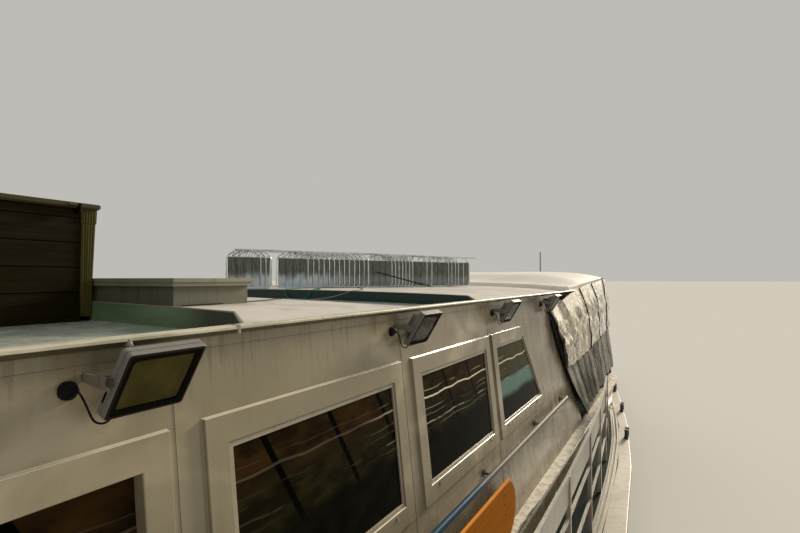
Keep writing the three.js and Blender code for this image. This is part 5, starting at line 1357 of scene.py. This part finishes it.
# Along the row, across it, height
TUBE_RUNS = (
    ((0.06, 0.07, 0.575), (2.5, 0.075, 0.58), (5.04, 0.07, 0.565)),
    ((0.3, 0.2, 0.56), (2.6, 0.19, 0.575), (4.7, 0.2, 0.555)),
)
STRAP_RUN = ((2.5, -0.03, 0.27), (2.9, -0.034, 0.185), (3.3, -0.034, 0.1), (3.72, -0.05, 0.012))
long_tubes = Shape()
for run in TUBE_RUNS:
    long_tubes.tube([row_place(*spot) for spot in run], 0.011, 12)
long_tubes.make("chair_row_tubes", "boat", [ALLOY], smooth=60)
strap = Shape()
strap.tube(smooth_path([row_place(*spot) for spot in STRAP_RUN], 4), 0.008, 8)
strap.make("chair_lashing", "boat", [ROPE_DARK], smooth=60)


# Tarpaulins: a dark lower cloth full of folds, and a pale crumpled cloth hung over its upper part
TARP_FOOT_Z = 1.76
# Columns: x and height of the foot, x and height of the head.
TARP_SIDE = [
    (2.8, 1.6, 1.17, 3.25),
    (3.5, 1.65, 2.3, 3.38),
    (4.4, 1.7, 3.7, 3.42),
    (5.6, 1.74, 5.2, 3.42),
    (6.5, TARP_FOOT_Z, 6.45, 3.42),
]
# Height of the upper cloth's head at the same stations
UPPER_HEAD = [(3.31,), (3.46,), (3.585,), (3.64,), (3.695,)]
CLOTH_SEAMS = (66, 102, 148)
TURN_X = 6.5
SIDE_SHARE = 0.5
TURN_END = 0.95
# How far the cloths' foot and head reach ahead round the bow, and how far out the upper one hangs to
# clear the trim's lip.
FOOT_REACH = 2.412
HEAD_TURN_X = 6.45
HEAD_REACH = 2.19
HEAD_OUT = 3.2685


def between(table, share):
    """A row of a table, read between its rows."""
    spot = max(0.0, min(share, 1.0)) * (len(table) - 1)
    low = min(int(spot), len(table) - 2)
    return [a + (b - a) * (spot - low) for a, b in zip(table[low], table[low + 1])]


def cloth_lines(t, lower):
    """Foot and head of the cloth, for t from its aft edge to the bow."""
    foot_x, foot_z, head_x, head_z = between(TARP_SIDE, t / SIDE_SHARE)
    foot = Vector((foot_x, -wall_out(foot_z), foot_z))
    head = Vector((head_x, -wall_out(head_z), head_z))
    if not lower:
        head.z = between(UPPER_HEAD, t / SIDE_SHARE)[0]
        head.y = -max(wall_out(head.z), HEAD_OUT if head.z > 3.4 else 0)
    if t > SIDE_SHARE:
        share = (t - SIDE_SHARE) / (1 - SIDE_SHARE) * TURN_END
        round_in = math.sqrt(1 - share**3)
        foot_y = -(wall_out(TARP_FOOT_Z) + 0.016) * round_in
        foot = Vector((TURN_X + share * FOOT_REACH, foot_y, TARP_FOOT_Z))
        rise = min(1, share / 0.35)
        head_x = HEAD_TURN_X + share * HEAD_REACH
        head_z = 3.42 + 0.14 * rise if lower else canopy_rim(head_x) - 0.015
        head = Vector((head_x, -(3.209 + 0.011 * rise) * round_in, head_z))
        if not lower:
            head.y = -(HEAD_OUT - 0.045 * rise) * round_in
    return foot, head


def hem_height(x, s):
    """Height of the upper cloth's wavy hem; s is the way travelled along the cloth."""
    wave = 0.03 * noise.noise(Vector((s * 2.6, 4.0, 0))) + 0.012 * math.sin(s * 17)
    return 2.43 + 0.045 * min(x - 1.6, 5) + wave


def cloth(name, side, lower):
    """One cloth as a grid of points pushed out into folds, with painted shade marked where it folds in,
    and its flat size.
    """
    columns, rows = 320, 64
    grid = []
    fold_shade_amounts = []
    travelled = 0.0
    before = None
    for i in range(columns + 1):
        t = i / columns
        foot, head = cloth_lines(t, lower)
        after, behind = cloth_lines(min(1, t + 0.003), lower)[0], cloth_lines(max(0, t - 0.003), lower)[0]
        ahead = (after - behind).normalized()
        out = Vector((-ahead.y, ahead.x, 0)) * -1
        middle = (foot + head) / 2
        travelled += (middle - before).length if before else 0
        before = middle
        bottom = 0.0
        if lower:
            foot = foot + (foot - head) * 0.03 * noise.noise(Vector((travelled * 5, 8, 0)))
        else:
            bottom = (hem_height(middle.x, travelled) - foot.z) / (head.z - foot.z)
        line = []
        for j in range(rows + 1):
            share = bottom + (1 - bottom) * j / rows
            p = foot.lerp(head, share)
            p.x -= 0.24 * math.sin(math.pi * share) * max(0, 1 - t / 0.09)
            fall = 1 - share
            wander = noise.noise(Vector((travelled * 1.2, fall * 0.7, 1)))
            long_fold = abs(math.sin(travelled * 6.1 + wander * 3.2 + fall * 0.7)) ** 1.3
            short_fold = abs(math.sin(travelled * 17 + wander * 9 + fall * 2.2)) ** 1.2
            crumple = noise.hetero_terrain(p * 5.5, 0.9, 2.1, 5, 0.6)
            fine = noise.noise(Vector((travelled * 26 + wander * 6, p.z * 3.1, 2)))
            # low is how much painted shade a point gets, most where the cloth folds in.
            if lower:
                deep = 0.4 + 0.6 * fall
                push = 0.004 + 0.040 * long_fold * deep + 0.026 * short_fold * deep + 0.006 * crumple
                low = 1 - (0.55 * long_fold + 0.45 * short_fold)
            else:
                sag = math.sin(math.pi * min(1, (share - bottom) / (1 - bottom)))
                push = 0.044 + 0.022 * crumple * (0.3 + 0.7 * sag) + 0.020 * long_fold + 0.02 * sag
                push += 0.008 * math.sin((p.x * 3.1 + p.z * 5.3) * 2 + wander * 4) + 0.007 * fine
                low = 0.62 - 0.45 * long_fold - 0.3 * crumple - 0.35 * fine
            near_bow = min(1, max(0, (p.x - 4.6) / 1.8))
            push *= 1 - 0.6 * near_bow * (1 if lower else 0.75)
            if not lower:
                push = min(push, 0.004 + (1 - share) * 0.5 + 0.02)
            p = p + out * max(0.002, push)
            line.append(Vector((p.x, -side * p.y, p.z)))
            fold_shade_amounts.append(max(0.0, min(1.0, low)))
        grid.append(line)
    shape = Shape()
    width = rows + 1
    faces = []
    slots = []
    for i in range(columns):
        for j in range(rows):
            a = i * width + j
            faces.append((a, a + width, a + width + 1, a + 1))
            slots.append(1 if i < 3 and not lower else 0)
    shape.points = [tuple(p) for line in grid for p in line]
    shape.faces = faces
    shape.slots = slots
    wide = max(sum((b[j] - a[j]).length for a, b in zip(grid, grid[1:])) for j in (0, rows // 2, rows))
    long = max(sum((b - a).length for a, b in zip(line, line[1:])) for line in grid[:: columns // 20])
    finishes = [CLOTH_DARK if lower else CLOTH_PALE, RUBBER]
    piece = shape.raw(name, finishes, weld=False)
    marks = piece.data.attributes.new("fold_shade", "FLOAT", "POINT")
    marks.data.foreach_set("value", fold_shade_amounts)
    flat_area = sum(face.area for face in piece.data.polygons)
    thick = piece.modifiers.new("thickness", "SOLIDIFY")
    thick.thickness = 0.003
    thick.offset = 1 if side < 0 else -1
    plain_copy(piece)
    return piece, wide, long, flat_area, grid


for name, side in BOTH_SIDES:
    body, wide, long, area, grid = cloth("tarpaulin_lower_" + name, side, True)
    settle(body, "boat", ["tarpaulin_" + name], 60)
    upper, wide, long, area, over = cloth("tarpaulin_upper_" + name, side, False)
    settle(upper, "boat", (), 60)
    edge = Shape()
    aft_line = [p + Vector((0, side * 0.012, 0)) for p in grid[0][::6]]
    edge.tube(aft_line, 0.013, 10)
    for column in CLOTH_SEAMS:
        line = [p + Vector((0, side * 0.012, 0)) for p in over[column][::8]]
        edge.tube(line, 0.010, 8)
    edge.make("tarpaulin_ropes_" + name, "boat", [RUBBER], smooth=60)


# Waterways along the side decks, and bitts on the guard's edge by the bow
DECK_RISE_X = 2.75
BITT_XS = (4.26, 6.15, 8.0)
# Columns: inner and outer edge, in from the guard's edge; foot and head over the deck.
WATERWAY_STRIPS = ((0.385, 0.262, 0.001, 0.005), (0.3, 0.288, 0.001, 0.03), (0.352, 0.343, 0.001, 0.022))


def deck_height(x):
    """Height of the side deck, which rises towards the bow."""
    return 0.9 + (0.75 * ((x - DECK_RISE_X) / 15.25) ** 2 if x > DECK_RISE_X else 0)


def edge_half(x):
    """Half the boat's breadth at the guard, which closes towards the bow."""
    return max(4.3 * (1 - ((x + 3) / 21) ** 2.4), 0.06) if x > -3 else 4.3


waterways = Shape()
for side in (-1, 1):
    stations = [-15.3 + 0.5 * i for i in range(65)]
    for inner, outer, low, high in WATERWAY_STRIPS:
        rings = []
        for x in stations:
            half = edge_half(x) - 0.7 * max(0, (-x - 9) / 6.4) ** 2 + 0.09 * min(max(x / 4, 0), 1)
            near, far = side * (half - inner), side * (half - outer)
            z = deck_height(x)
            rings.append([(x, near, z + low), (x, far, z + low), (x, far, z + high), (x, near, z + high)])
        waterways.loft(rings)
waterways.make("side_deck_waterways", "boat", [WATERWAY], smooth=40, bevel=0.001)
bitts = Shape()
for x in BITT_XS:
    for side in (-1, 1):
        y = side * (edge_half(x) - 0.045)
        z = deck_height(x) + 0.002
        bitts.box((x - 0.15, x + 0.15), (y - 0.04, y + 0.04), (z, z + 0.014))
        for step in (-0.085, 0.085):
            post = x + step
            bitts.tube([(post, y, z + 0.01), (post, y, z + 0.135)], 0.03, 16)
            cap = [(post, y, z + up) for up in (0.13, 0.145, 0.152)]
            bitts.tube(cap, [0.039, 0.039, 0.03], 16)
bitts.make("guard_bitts", "boat", [IRON], smooth=40, bevel=0.002)
